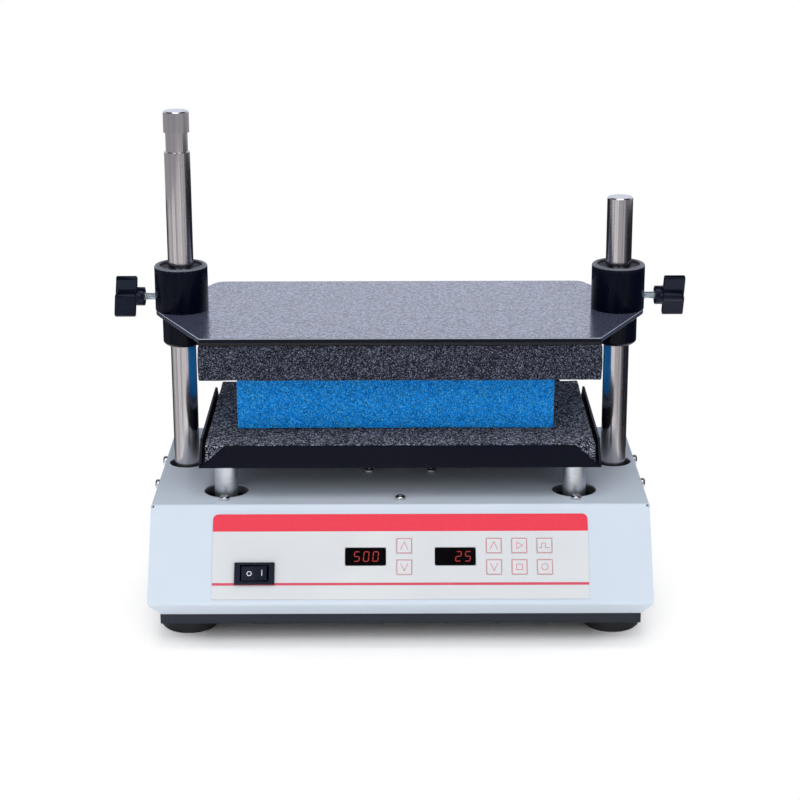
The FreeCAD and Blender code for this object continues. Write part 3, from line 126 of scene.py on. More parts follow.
class Shader:
    """The node tree of one material or of the world."""

    def __init__(self, tree: bpy.types.NodeTree) -> None:
        """Start from an empty tree."""
        self.tree = tree
        tree.nodes.clear()

    def add(
        self,
        kind: str,
        settings: Mapping[str, Any] | None = None,
        inputs: Mapping[str | int, Any] | None = None,
        output: str | int = 0,
    ) -> Value:
        """Add a node: its settings first, then its values and links.

        Args:
            kind: the node's type, without the word that all shader nodes start with.
            settings: properties of the node.
            inputs: a number, a colour, a colour's code or a Value for each named socket.
            output: the socket to hand back.

        Returns:
            That output.
        """
        node = self.tree.nodes.new(f"ShaderNode{kind}")
        for name, setting in (settings or {}).items():
            setattr(node, name, setting)
        for name, item in (inputs or {}).items():
            if isinstance(item, Value):
                self.tree.links.new(item.socket, node.inputs[name])
            else:
                node.inputs[name].default_value = tint(item) if isinstance(item, str) else item
        return Value(self, node.outputs[output] if node.outputs else None)

    def place(self, stretch: Sequence[float] = (1.0, 1.0, 1.0)) -> Value:
        """Give the position on the piece in metres, times a factor for each axis."""
        spot = self.add("TexCoord", output="Object")
        return self.add("VectorMath", {"operation": "MULTIPLY"}, {0: spot, 1: tuple(stretch)})

    def cloud(self, scale: float, detail: float = 2.0, stretch: Sequence[float] = (1.0, 1.0, 1.0)) -> Value:
        """Add soft noise from 0 to 1: its waves in a metre, its octaves and a factor for each axis."""
        spot = self.place([scale * factor for factor in stretch])
        return self.add("TexNoise", None, {"Vector": spot, "Scale": 1.0, "Detail": detail})

    def cells(self, scale: float, output: str = "Distance") -> Value:
        """Add so many packed cells in a metre: the distance from their middles or a random "Color"."""
        return self.add("TexVoronoi", None, {"Vector": self.place(), "Scale": scale}, output)

    def luck(self, scale: float, channel: str = "Red") -> Value:
        """Give each packed cell a random number."""
        return self.add("SeparateColor", None, {0: self.cells(scale, "Color")}, channel)

    def axis(self, spot: Value, letter: str) -> Value:
        """Take one axis of a position or a direction."""
        return self.add("SeparateXYZ", None, {0: spot}, letter)

    def blend(self, share: Value, first: "Value | str", second: "Value | Colour | str") -> Value:
        """Mix two colours by the share of the second."""
        return self.add("Mix", {"data_type": "RGBA"}, {0: share, 6: first, 7: second}, 2)

    def relief(self, height: Value, strength: float, depth: float) -> Value:
        """Bump the normal by a height; depth is what a height of 1 stands for."""
        return self.add("Bump", None, {"Strength": strength, "Distance": depth, "Height": height})

    def surface(self, inputs: Mapping[str, Any]) -> None:
        """End the material in one Principled surface with these inputs."""
        body = self.add("BsdfPrincipled", None, inputs)
        self.add("OutputMaterial", None, {"Surface": body})


class Lay(Enum):
    """The way the marks of a tool run: how far the noise is squeezed along each axis."""

    RINGS_ON_Z = (1.0, 1.0, 26.0)
    RINGS_ON_X = (26.0, 1.0, 1.0)
    BRUSHED_X = (0.05, 6.0, 6.0)
    DRAWN_ON_Z = (5.0, 5.0, 0.05)
    EVEN = (1.0, 1.0, 1.0)


@dataclass(frozen=True)
class Finish:
    """A surface with its name and main colour; each kind draws its own nodes."""

    name: str
    colour: str

    def draw(self, shader: Shader) -> None:
        """Draw the nodes; every kind has its own."""
        raise NotImplementedError

    def material(self) -> bpy.types.Material:
        """Find the material of this finish, or make it.

        Returns:
            The material.
        """
        made = bpy.data.materials.get(self.name)
        if made is None:
            made = bpy.data.materials.new(self.name)
            made.use_nodes = True
            self.draw(Shader(made.node_tree))
        return made


@dataclass(frozen=True)
class Enamel(Finish):
    """Stoved paint on sheet metal, with a faint orange peel."""

    shade: str
    gloss: float
    coat: float

    def draw(self, shader: Shader) -> None:
        """Draw a slow mottle, a fine peel and an uneven gloss."""
        mottle = shader.cloud(9.0, 3.0)
        peel = shader.cloud(620.0, 1.0)
        grain = shader.cloud(2600.0, 1.0)
        shader.surface({
            "Base Color": shader.blend(mottle.ease(0.25, 0.75), self.colour, self.shade),
            "Roughness": (1.0 - self.gloss) + 0.1 * shader.cloud(40.0) + 0.06 * grain,
            "Coat Weight": self.coat,
            "Coat Roughness": 0.12,
            "Normal": shader.relief(peel + 0.3 * grain, 0.08, 0.1 * MM),
        })


@dataclass(frozen=True)
class PowderCoat(Finish):
    """Black satin powder coat with a fine pebble."""

    # Colour of the pale flecks, painted glints on level faces.
    glint_fleck: str
    shine: float
    pebble: float
    # Strength of the painted highlight on rounded edges.
    edge_highlight: float

    def draw(self, shader: Shader) -> None:
        """Draw the pebble, pale flecks on level faces as painted glints, a painted highlight on the rounded
        edges that tilt up, and a clear skin on level faces.
        """
        pebble = shader.cloud(460.0, 1.0)
        luck = shader.luck(700.0)
        rise = shader.axis(shader.add("TexCoord", output="Normal"), "Z")
        level = rise.ease(0.6, 0.95)
        # Painted highlight: rounded edges whose faces tilt partly up get a pale colour in place of the
        # light they would catch.
        painted_edge_highlight = self.edge_highlight * rise.ease(0.1, 0.4) * rise.ease(0.99, 0.9)
        # Painted glints: pale flecks only on faces that look up, which also raise the clear skin's weight
        # there.
        glint_fleck = luck.ease(0.35, 0.75) * level
        coated = shader.blend(glint_fleck, self.colour, self.glint_fleck)
        shader.surface({
            # The pale #c4c6d2 on those edges is the painted highlight.
            "Base Color": shader.blend(painted_edge_highlight, coated, "#c4c6d2"),
            "Metallic": self.shine * level,
            "Roughness": 0.16 + 0.16 * pebble,
            "Specular IOR Level": 0.1,
            "Coat Weight": self.shine * level * (0.5 + 0.5 * glint_fleck),
            "Coat Roughness": 0.14,
            "Coat IOR": 2.3,
            "Sheen Weight": 0.6 * self.shine,
            "Sheen Roughness": 0.3,
            "Sheen Tint": "#ccd6ff",
            "Normal": shader.relief(pebble, self.pebble, 0.6 * MM),
        })


@dataclass(frozen=True)
class WorkedMetal(Finish):
    """Bare metal with the marks of the tool that cut or ground it."""

    lay: Lay
    roughness: float
    depth: float

    def draw(self, shader: Shader) -> None:
        """Draw fine tool marks and a light handling haze."""
        marks = shader.cloud(420.0, 2.0, self.lay.value)
        haze = shader.cloud(55.0, 3.0, self.lay.value)
        dull = tint(self.colour)[:3]
        darker = tuple(0.7 * part for part in dull) + (1.0,)
        shader.surface({
            "Base Color": shader.blend(haze.ease(0.35, 0.75) * 0.6, self.colour, darker),
            "Metallic": 1.0,
            "Roughness": self.roughness + 0.12 * marks + 0.08 * haze,
            "Normal": shader.relief(marks, self.depth, 0.03 * MM),
        })


@dataclass(frozen=True)
class Rubber(Finish):
    """Moulded black rubber with dust in its grain."""

    dust: str

    def draw(self, shader: Shader) -> None:
        """Draw a fine grain with specks of dust."""
        grain = shader.cloud(1900.0, 2.0)
        speck = shader.cells(1300.0)
        shader.surface({
            "Base Color": shader.blend(speck.ease(0.22, 0.1) * 0.7, self.colour, self.dust),
            "Roughness": 0.5 + 0.3 * grain,
            "Normal": shader.relief(grain, 0.25, 0.12 * MM),
        })


@dataclass(frozen=True)
class Foam(Finish):
    """Cut closed-cell foam: small open cells, some catching the light."""

    # Colour of the painted shade in the open cells.
    pit: str
    # Colour of the painted highlights on the cell lips, also the sheen's tint.
    speck: str
    cell: float

    def draw(self, shader: Shader) -> None:
        """Draw the cells of the cut face, with painted shade in the pits and painted highlights on the
        lips.
        """
        count = 1.0 / self.cell
        depth = shader.cells(count)
        fine = shader.cloud(1.3 * count, 1.0)
        # Painted shade: random cells darken to the pit colour, as shade inside open cells.
        painted_pit_shade = shader.luck(count).ease(0.3, 0.7)
        # Painted highlights: random cell lips lighten to the speck colour.
        painted_lip_highlights = shader.luck(count, "Green").ease(0.3, 0.9) * shader.luck(1.7 * count).ease(0.35, 0.85)
        toned = shader.blend(painted_pit_shade, self.colour, self.pit)
        shader.surface({
            "Base Color": shader.blend(painted_lip_highlights, toned, self.speck),
            "Roughness": 0.82 + 0.15 * fine,
            "Diffuse Roughness": 1.0,
            "Specular IOR Level": 0.15,
            "Sheen Weight": 0.06,
            "Sheen Roughness": 0.6,
            "Sheen Tint": self.speck,
            "Normal": shader.relief(depth + fine, 0.7, 0.6 * MM),
        })


@dataclass(frozen=True)
class Film(Finish):
    """Printed polyester film with a fine matt grain."""

    shade: str

    def draw(self, shader: Shader) -> None:
        """Draw the matt grain and a slow drift of tone."""
        grain = shader.cloud(3200.0, 1.0)
        drift = shader.cloud(14.0, 2.0)
        shader.surface({
            "Base Color": shader.blend(drift.ease(0.3, 0.7), self.colour, self.shade),
            "Roughness": 0.36 + 0.14 * grain,
            "Normal": shader.relief(grain, 0.06, 0.05 * MM),
        })


@dataclass(frozen=True)
class Ink(Finish):
    """Screen-printed ink that lies a little uneven."""

    thin: str

    def draw(self, shader: Shader) -> None:
        """Draw the ink's uneven cover and its soft sheen."""
        cover = shader.cloud(380.0, 3.0)
        shader.surface({
            "Base Color": shader.blend(cover.ease(0.45, 0.85) * 0.5, self.colour, self.thin),
            "Roughness": 0.38 + 0.15 * cover,
            "Normal": shader.relief(cover, 0.05, 0.03 * MM),
        })


@dataclass(frozen=True)
class SmokedPane(Finish):
    """Dark acrylic with a few smears."""

    smear: float

    def draw(self, shader: Shader) -> None:
        """Draw a near-black pane whose gloss shifts with old smears."""
        smears = shader.cloud(130.0, 4.0, (1.0, 0.4, 0.4))
        shader.surface({
            "Base Color": shader.blend(smears * 0.3, self.colour, "#0d090b"),
            "Roughness": 0.06 + self.smear * smears,
            "Specular IOR Level": 0.25,
            "Coat Weight": 0.1,
            "Coat Roughness": 0.04,
            "Normal": shader.relief(smears, 0.02, 0.05 * MM),
        })


@dataclass(frozen=True)
class Glow(Finish):
    """A lit segment: brightest along its middle grain."""

    core: str
    power: float

    def draw(self, shader: Shader) -> None:
        """Draw the red glow with a finely mottled core."""
        mottle = shader.cloud(900.0, 2.0)
        shader.surface({
            "Base Color": "#2a0606",
            "Roughness": 0.4,
            "Emission Color": shader.blend(mottle.ease(0.4, 0.7), self.colour, self.core),
            "Emission Strength": self.power,
        })


@dataclass(frozen=True)
class Moulding(Finish):
    """Moulded plastic with a spark-eroded grain."""

    roughness: float
    grain: float
    polish: float

    def draw(self, shader: Shader) -> None:
        """Draw the mould's grain and a slow change of gloss."""
        grain = shader.cloud(1700.0, 2.0)
        flow = shader.cloud(60.0, 3.0)
        lit = tuple(min(1.0, 1.35 * part + 0.004) for part in tint(self.colour)[:3]) + (1.0,)
        shader.surface({
            "Base Color": shader.blend(flow.ease(0.3, 0.8) * 0.5, self.colour, lit),
            "Roughness": self.roughness + 0.12 * flow + 0.08 * grain,
            "Specular IOR Level": self.polish,
            "Specular Tint": "#ccd5ff",
            "Normal": shader.relief(grain, self.grain, 0.08 * MM),
        })


@dataclass(frozen=True)
class Board(Finish):
    """Green solder mask over copper tracks."""

    track: str

    def draw(self, shader: Shader) -> None:
        """Draw the tracks as straight paths under the mask, with bright pads."""
        settings = {"feature": "DISTANCE_TO_EDGE"}
        paths = shader.add("TexVoronoi", settings, {"Vector": shader.place(), "Scale": 160.0})
        pads = shader.cells(210.0)
        masked = shader.blend(paths.ease(0.12, 0.06), self.colour, self.track)
        shader.surface({
            "Base Color": shader.blend(pads.ease(0.2, 0.16), masked, "#c9b98a"),
            "Roughness": 0.3 + 0.2 * shader.cloud(300.0),
            "Normal": shader.relief(paths.ease(0.12, 0.06), 0.2, 0.05 * MM),
        })


PALE_ENAMEL = Enamel("pale_enamel", "#d1dae4", "#ccd6e0", gloss=0.6, coat=0.1)
SLATE_ENAMEL = Enamel("slate_enamel", "#111929", "#0d1422", gloss=0.4, coat=0.0)
# The last number of each powder coat is the strength of its painted edge highlight.
SATIN_POWDER = PowderCoat("satin_powder", "#0e101a", "#59627f", shine=1.0, pebble=0.2, edge_highlight=0.9)
TRAY_POWDER = PowderCoat("tray_powder", "#050817", "#0a0e20", shine=0.02, pebble=0.1, edge_highlight=0.0)
GROUND_STEEL = WorkedMetal("ground_steel", "#d6d2d4", Lay.DRAWN_ON_Z, roughness=0.07, depth=0.12)
POST_STEEL = WorkedMetal("post_steel", "#d7dadf", Lay.RINGS_ON_Z, roughness=0.25, depth=0.2)
SCREW_NICKEL = WorkedMetal("screw_nickel", "#d3d5da", Lay.EVEN, roughness=0.14, depth=0.1)
BRIGHT_ZINC = WorkedMetal("bright_zinc", "#deebf4", Lay.RINGS_ON_X, roughness=0.3, depth=0.15)
DULL_ZINC = WorkedMetal("dull_zinc", "#a9adb4", Lay.EVEN, roughness=0.32, depth=0.2)
TURNED_ALLOY = WorkedMetal("turned_alloy", "#c2c5c9", Lay.RINGS_ON_Z, roughness=0.3, depth=0.25)
BRUSHED_ALLOY = WorkedMetal("brushed_alloy", "#bfc2c7", Lay.BRUSHED_X, roughness=0.34, depth=0.25)
BLACK_ANODISED = PowderCoat("anodised_black", "#040817", "#0a1022", shine=0.12, pebble=0.3, edge_highlight=0.3)
MOTOR_PAINT = Enamel("motor_paint", "#2a2c30", "#232529", gloss=0.5, coat=0.1)
FOOT_RUBBER = Rubber("foot_rubber", "#0a0c11", "#42464e")
BELT_RUBBER = Rubber("belt_rubber", "#08090e", "#20222a")
# Each foam's third colour is its painted pit shade and its fourth its painted lip highlight.
CHARCOAL = Foam("charcoal_cut", "#1a1d2a", "#080911", "#8d92a8", cell=0.8 * MM)
OPEN_CHARCOAL = Foam("charcoal_open_cut", "#0d1019", "#020306", "#c6cbdd", cell=1.15 * MM)
BLUE = Foam("blue_cut", "#009ffa", "#0070c4", "#62dcff", cell=0.9 * MM)
PALE_FILM = Film("pale_film", "#d7d9d8", "#d2d4d5")
RED_INK = Ink("red_ink", "#e81f3d", "#ea344f")
LINE_INK = Ink("line_ink", "#d2405a", "#da5c70")
MARK_INK = Ink("mark_ink", "#e9ecf2", "#c9ced8")
DISPLAY_PANE = SmokedPane("smoked_pane", "#050405", smear=0.1)
LIT_SEGMENT = Glow("lit_segment", "#b81814", "#e02c24", power=0.62)
SWITCH_BLACK = Moulding("switch_black", "#12161f", roughness=0.3, grain=0.08, polish=0.25)
KNOB_BLACK = Moulding("knob_black", "#050915", roughness=0.12, grain=0.05, polish=0.28)
LINER_DARK = Moulding("liner_dark", "#0b0c12", roughness=0.4, grain=0.05, polish=0.15)
INLET_BLACK = Moulding("inlet_black", "#141518", roughness=0.42, grain=0.12, polish=0.35)
GREEN_BOARD = Board("green_board", "#12502f", "#1f7a49")


def dress(nodes: Iterable[str], finish: Finish) -> None:
    """Put a finish on solids of the frame.

    Args:
        nodes: the solids' names.
        finish: the finish.
    """
    for name in nodes:
        for held in frame["nodes"][name].material_slots:
            held.material = finish.material()
        LOG.info("dressed %s in %s", name, finish.name)


def soften(nodes: Iterable[str], width: float) -> None:
    """Round the sharp edges of solids so that they catch the light.

    Args:
        nodes: the solids' names.
        width: how far each edge is taken back.
    """
    for name in nodes:
        solid = frame["nodes"][name]
        weld = solid.modifiers.new("edge_weld", "WELD")
        weld.merge_threshold = WELD_REACH
        merge = solid.modifiers.new("flat_merge", "DECIMATE")
        merge.decimate_type = "DISSOLVE"
        merge.angle_limit = FLAT_ANGLE
        bevel = solid.modifiers.new("edge_round", "BEVEL")
        bevel.width = width
        bevel.segments = 2
        bevel.limit_method = "ANGLE"
        bevel.angle_limit = EDGE_ANGLE
        bevel.harden_normals = True
        bevel.use_clamp_overlap = False


class Sculpt:
    """Corners and faces gathered for one new piece."""

    def __init__(self) -> None:
        """Start with nothing."""
        self.corners: list[Vector] = []
        self.faces: list[list[int]] = []

    def loft(self, sections: Sequence[Sequence[Vector]], ring: bool = False) -> None:
        """Skin a row of closed sections with the same number of corners.

        Args:
            sections: the sections in order, each anticlockwise seen from the far end.
            ring: whether the last section joins the first; otherwise both ends are capped.
        """
        start = len(self.corners)
        size = len(sections[0])
        count = len(sections)
        for section in sections:
            self.corners.extend(section)
        for row in range(count if ring else count - 1):
            near = start + row * size
            far = start + (row + 1) % count * size
            for column in range(size):
                beside = (column + 1) % size
                self.faces.append([near + column, near + beside, far + beside, far + column])
        if not ring:
            last = start + (count - 1) * size
            self.faces.append([start + size - 1 - column for column in range(size)])
            self.faces.append([last + column for column in range(size)])

    def make(self, name: str, body: str, finish: Finish, smooth: bool = False) -> bpy.types.Object:
        """Make the piece and let it ride on a body.

        Args:
            name: the piece's name.
            body: the body it rides on.
            finish: its finish.
            smooth: whether its faces are shaded round.

        Returns:
            The new object.
        """
        mesh = bpy.data.meshes.new(name)
        mesh.from_pydata(self.corners, [], self.faces)
        mesh.polygons.foreach_set("use_smooth", [smooth] * len(mesh.polygons))
        mesh.materials.append(finish.material())
        piece = bpy.data.objects.new(name, mesh)
        bpy.context.scene.collection.objects.link(piece)
        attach(piece, body)
        LOG.info("made %s with %d faces on %s", name, len(self.faces), body)
        return piece


def rounded(width: float, height: float, radii: Sequence[float], steps: int = 6) -> list[Point]:
    """Outline a rectangle about the origin with rounded corners.

    Args:
        width: its size across.
        height: its size upwards.
        radii: the radius of the top right, top left, bottom left and bottom right corners.
        steps: the chords in each corner.

    Returns:
        The outline, anticlockwise.
    """
    outline = []
    for turn, radius in enumerate(radii):
        right = 1 if turn in (0, 3) else -1
        top = 1 if turn in (0, 1) else -1
        middle = (right * (width / 2 - radius), top * (height / 2 - radius))
        for step in range(steps + 1):
            angle = math.pi / 2 * (turn + step / steps)
            outline.append((middle[0] + radius * math.cos(angle), middle[1] + radius * math.sin(angle)))
    return outline


def circle(radius: float, steps: int = 32) -> list[Point]:
    """Outline a circle about the origin with so many chords, anticlockwise."""
    angles = [2 * math.pi * step / steps for step in range(steps)]
    return [(radius * math.cos(angle), radius * math.sin(angle)) for angle in angles]


@dataclass(frozen=True)
class Facet:
    """A flat place to print on: where it starts, its right, its up and the way it faces."""

    origin: Vector
    right: Vector
    up: Vector
    out: Vector

    def at(self, spot: Point, rise: float) -> Vector:
        """Give the point at a spot of the facet and a height over it."""
        return self.origin + self.right * spot[0] + self.up * spot[1] + self.out * rise

    def span(self, node: str) -> tuple[Vector, Vector]:
        """Measure a solid along the facet's directions.

        Args:
            node: the solid's name.

        Returns:
            Its lowest and highest corner in the facet's own coordinates.
        """
        solid = frame["nodes"][node]
        spots = [solid.matrix_world @ corner.co - self.origin for corner in solid.data.vertices]
        local = [[spot.dot(way) for spot in spots] for way in (self.right, self.up, self.out)]
        return Vector([min(line) for line in local]), Vector([max(line) for line in local])

    def slab(self, sculpt: Sculpt, outline: Sequence[Point], low: float, high: float) -> None:
        """Raise an anticlockwise outline between two heights and add it to a piece."""
        sculpt.loft([[self.at(spot, rise) for spot in outline] for rise in (low, high)])

    def stroke(self, sculpt: Sculpt, path: Sequence[Point], pen: "Pen", closed: bool) -> None:
        """Draw a line of even width with mitred corners.

        Args:
            sculpt: the piece it is added to.
            path: the middle of the line.
            pen: its width and heights.
            closed: whether its end joins its start.
        """
        spots = [Vector(spot) for spot in path]
        ends = spots[1:] + spots[:1] if closed else spots[1:]
        sides = [(end - start).orthogonal().normalized() for start, end in zip(spots, ends)]
        sections = []
        for index, spot in enumerate(spots):
            before = sides[index - 1] if closed or index else sides[0]
            after = sides[index] if index < len(sides) else before
            side = (before + after).normalized()
            offset = side * (pen.width / 2 / max(pen.mitre, side.dot(before)))
            left, right = spot + offset, spot - offset
            corners = ((right, pen.low), (left, pen.low), (left, pen.high), (right, pen.high))
            sections.append([self.at(corner, rise) for corner, rise in corners])
        sculpt.loft(sections, closed)


@dataclass(frozen=True)
class Pen:
    """The width of a printed line, the heights it lies between and the limit of its mitres."""

    width: float
    low: float
    high: float
    mitre: float = 0.3


class Glyph(Enum):
    """The mark on a key: its line in millimetres and whether it closes."""

    UP = (((-3.0, -3.3), (0.0, 3.2), (3.0, -3.3)), False)
    DOWN = (((-3.0, 3.3), (0.0, -3.2), (3.0, 3.3)), False)
    RUN = (((-1.9, -2.7), (2.9, 0.0), (-1.9, 2.7)), True)
    STOP = (((-2.3, -2.3), (2.3, -2.3), (2.3, 2.3), (-2.3, 2.3)), True)
    PULSE = (((-4.2, -1.9), (-2.1, -1.9), (-2.1, 1.9), (0.7, 1.9), (0.7, -1.9), (4.2, -1.9)), False)
    OFF = (tuple(circle(2.5)), True)


KEY_GLYPHS = {
    "speed_up": Glyph.UP,
    "speed_down": Glyph.DOWN,
    "time_up": Glyph.UP,
    "time_down": Glyph.DOWN,
    "run": Glyph.RUN,
    "stop": Glyph.STOP,
    "pulse_on": Glyph.PULSE,
    "pulse_off": Glyph.OFF,
}

# The lit bars of a seven-bar figure: A on top, then clockwise to F, with G across the middle.
LIT_BARS = {"0": "ABCDEF", "2": "ABGED", "5": "AFGCD"}
BAR_ENDS = {
    "A": ((0, 2), (1, 2)),
    "B": ((1, 2), (1, 1)),
    "C": ((1, 1), (1, 0)),
    "D": ((0, 0), (1, 0)),
    "E": ((0, 1), (0, 0)),
    "F": ((0, 2), (0, 1)),
    "G": ((0, 1), (1, 1)),
}


@dataclass
class ControlPanel:
    """The sloped membrane panel, its displays, keys and mains switch."""

    ink: float = 0.06 * MM
    bar_share: float = 0.205
    rule_share: float = 0.1762
    rule_width: float = 2.1 * MM
    figure_height: float = 7.8 * MM
    figure_width: float = 4.0 * MM
    figure_step: float = 7.5 * MM
    bar_width: float = 0.75 * MM
    bar_gap: float = 0.12 * MM
    slant: float = 0.1
    band_corner: float = 4.5 * MM
    band_foot: float = 0.05 * MM
    rule_inset: float = 0.3 * MM
    key_line: float = 0.42 * MM
    key_margin: float = 0.9 * MM
    key_corner: float = 0.7 * MM
    pane_edge: float = 0.35 * MM
    pane_corner: float = 1.7 * MM
    mark_line: float = 0.55 * MM
    mark_shift: float = 1.4 * MM
    mark_bar: float = 2.4 * MM
    mark_ring: float = 1.7 * MM
    mark_facing: float = 0.9
    switch_edge: float = 0.5 * MM
    film_edge: float = 0.25 * MM
    face: Facet = field(init=False)

    def __post_init__(self) -> None:
        """Take the panel's own directions from the joints that move on it."""
        axes = {joint["name"]: Vector(joint["axis"]).normalized() for joint in frame["joints"]}
        up = axes["switch_rock"]
        out = -axes["run_press"]
        self.face = Facet(Vector((0.0, 0.0, 0.0)), up.cross(out), up, out)

    def build(self) -> None:
        """Make the print, the panes, the figures and the switch's marks."""
        self.bands()
        for name, glyph in KEY_GLYPHS.items():
            self.key_print(name, glyph)
        self.readout("speed", "500", right=0.81)
        self.readout("time", "25", right=0.87)
        self.switch_mark("off_mark", on_side=False)
        self.switch_mark("on_mark", on_side=True)

    def bands(self) -> None:
        """Make the red band along the top of the film and the red rule near its foot."""
        low, high = self.face.span("panel_overlay")
        width = high.x - low.x
        height = high.y - low.y
        centre = (low.x + high.x) / 2
        deep = self.bar_share * height
        radii = (self.band_corner, self.band_corner, self.band_foot, self.band_foot)
        band = Sculpt()
        spots = [(x + centre, y + high.y - deep / 2) for x, y in rounded(width, deep, radii)]
        self.face.slab(band, spots, high.z - self.ink, high.z + self.ink)
        band.make("red_band", "console", RED_INK)
        rule = Sculpt()
        level = low.y + self.rule_share * height
        line = [(low.x + self.rule_inset, level), (high.x - self.rule_inset, level)]
        pen = Pen(self.rule_width, high.z - self.ink, high.z + self.ink)
        self.face.stroke(rule, line, pen, closed=False)
        rule.make("red_rule", "console", LINE_INK)

    def key_print(self, name: str, glyph: Glyph) -> None:
        """Make the outline and the mark of one key.

        Args:
            name: the key's name without its ending.
            glyph: its mark.
        """
        low, high = self.face.span(f"{name}_key")
        centre = (low + high) / 2
        pen = Pen(self.key_line, high.z - self.ink, high.z + self.ink)
        size = high.x - low.x - self.key_margin
        square = rounded(size, size, [self.key_corner] * 4, steps=3)
        outline = [(x + centre.x, y + centre.y) for x, y in square]
        path, closed = glyph.value
        sculpt = Sculpt()
        self.face.stroke(sculpt, outline, pen, closed=True)
        mark = [(x * MM + centre.x, y * MM + centre.y) for x, y in path]
        self.face.stroke(sculpt, mark, pen, closed)
        sculpt.make(f"{name}_print", f"{name}_key", LINE_INK)

    def readout(self, name: str, figures: str, right: float) -> None:
        """Make a display's pane with rounded corners and its lit figures.

        Args:
            name: the display's name without its ending.
            figures: the figures it shows.
            right: the right end of the last figure, as a share of the window.
        """
        low, high = self.face.span(f"{name}_window")
        centre = (low + high) / 2
        width = high.x - low.x
        height = high.y - low.y
        edge = self.pane_edge
        sections = []
        for inset, rise in ((0.0, low.z), (0.0, high.z - edge), (edge, high.z)):
            outline = rounded(width - 2 * inset, height - 2 * inset, [self.pane_corner - inset] * 4)
            sections.append([self.face.at((x + centre.x, y + centre.y), rise) for x, y in outline])
        pane = Sculpt()
        pane.loft(sections)
        piece = pane.make(f"{name}_figures_pane", "console", DISPLAY_PANE)
        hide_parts(f"{name}_window")
        lit = Sculpt()
        start = low.x + right * width - self.figure_width
        for place, figure in enumerate(reversed(figures)):
            corner = (start - place * self.figure_step, centre.y - self.figure_height / 2)
            for bar in LIT_BARS[figure]:
                self.face.slab(lit, self.figure_bar(bar, corner), high.z - self.ink, high.z + self.ink)
        lit.make(f"{name}_figures", "console", LIT_SEGMENT)

    def figure_bar(self, bar: str, corner: Point) -> list[Point]:
        """Outline one bar of a figure: a slanted, pointed strip.

        Args:
            bar: the bar's letter.
            corner: the figure's lower left corner.

        Returns:
            The outline, anticlockwise.
        """
        unit = Vector((self.figure_width, self.figure_height / 2))
        first, second = (Vector((end[0] * unit.x, end[1] * unit.y)) for end in BAR_ENDS[bar])
        along = (second - first).normalized()
        side = Vector((-along.y, along.x)) * self.bar_width / 2
        first += along * self.bar_gap
        second -= along * self.bar_gap
        tip = along * self.bar_width / 2
        near, far = first + tip, second - tip
        outline = [first, near - side, far - side, second, far + side, near + side]
        base = self.figure_height / 2
        return [(corner[0] + spot.x + self.slant * (spot.y - base), corner[1] + spot.y) for spot in outline]

    def switch_mark(self, name: str, on_side: bool) -> None:
        """Make the mark on one half of the rocker, in the plane of that half.

        Args:
            name: the mark's name.
            on_side: whether it is the bar of the right half rather than the ring of the left.
        """
        rocker = frame["nodes"]["switch_rocker"]
        place = rocker.matrix_world
        low, high = self.face.span("switch_rocker")
        middle = (low.x + high.x) / 2
        sided = [plane for plane in rocker.data.polygons if ((place @ plane.center).x > middle) == on_side]
        halves = [plane for plane in sided if plane.normal.dot(self.face.out) > self.mark_facing]
        area = sum(plane.area for plane in halves)
        out = sum((plane.normal * plane.area for plane in halves), Vector()).normalized()
        origin = sum(((place @ plane.center) * plane.area for plane in halves), Vector()) / area
        right = self.face.up.cross(out)
        facet = Facet(origin + right * self.mark_shift, right, self.face.up, out)
        pen = Pen(self.mark_line, -self.ink, self.ink)
        mark = Sculpt()
        if on_side:
            facet.stroke(mark, [(0.0, -self.mark_bar), (0.0, self.mark_bar)], pen, closed=False)
        else:
            facet.stroke(mark, circle(self.mark_ring), pen, closed=True)
        mark.make(name, "rocker", MARK_INK)

    def dress(self) -> None:
        """Dress the film, the keys, the switch and the board behind them."""
        dress(["panel_overlay"] + [f"{name}_key" for name in KEY_GLYPHS], PALE_FILM)
        dress(["switch_bezel", "switch_rocker"], SWITCH_BLACK)
        dress(["speed_window", "time_window"], DISPLAY_PANE)
        dress(["control_board"], GREEN_BOARD)
        dress(["board_standoffs"], DULL_ZINC)
        soften(["switch_bezel", "switch_rocker"], self.switch_edge)
        soften(["panel_overlay"], self.film_edge)


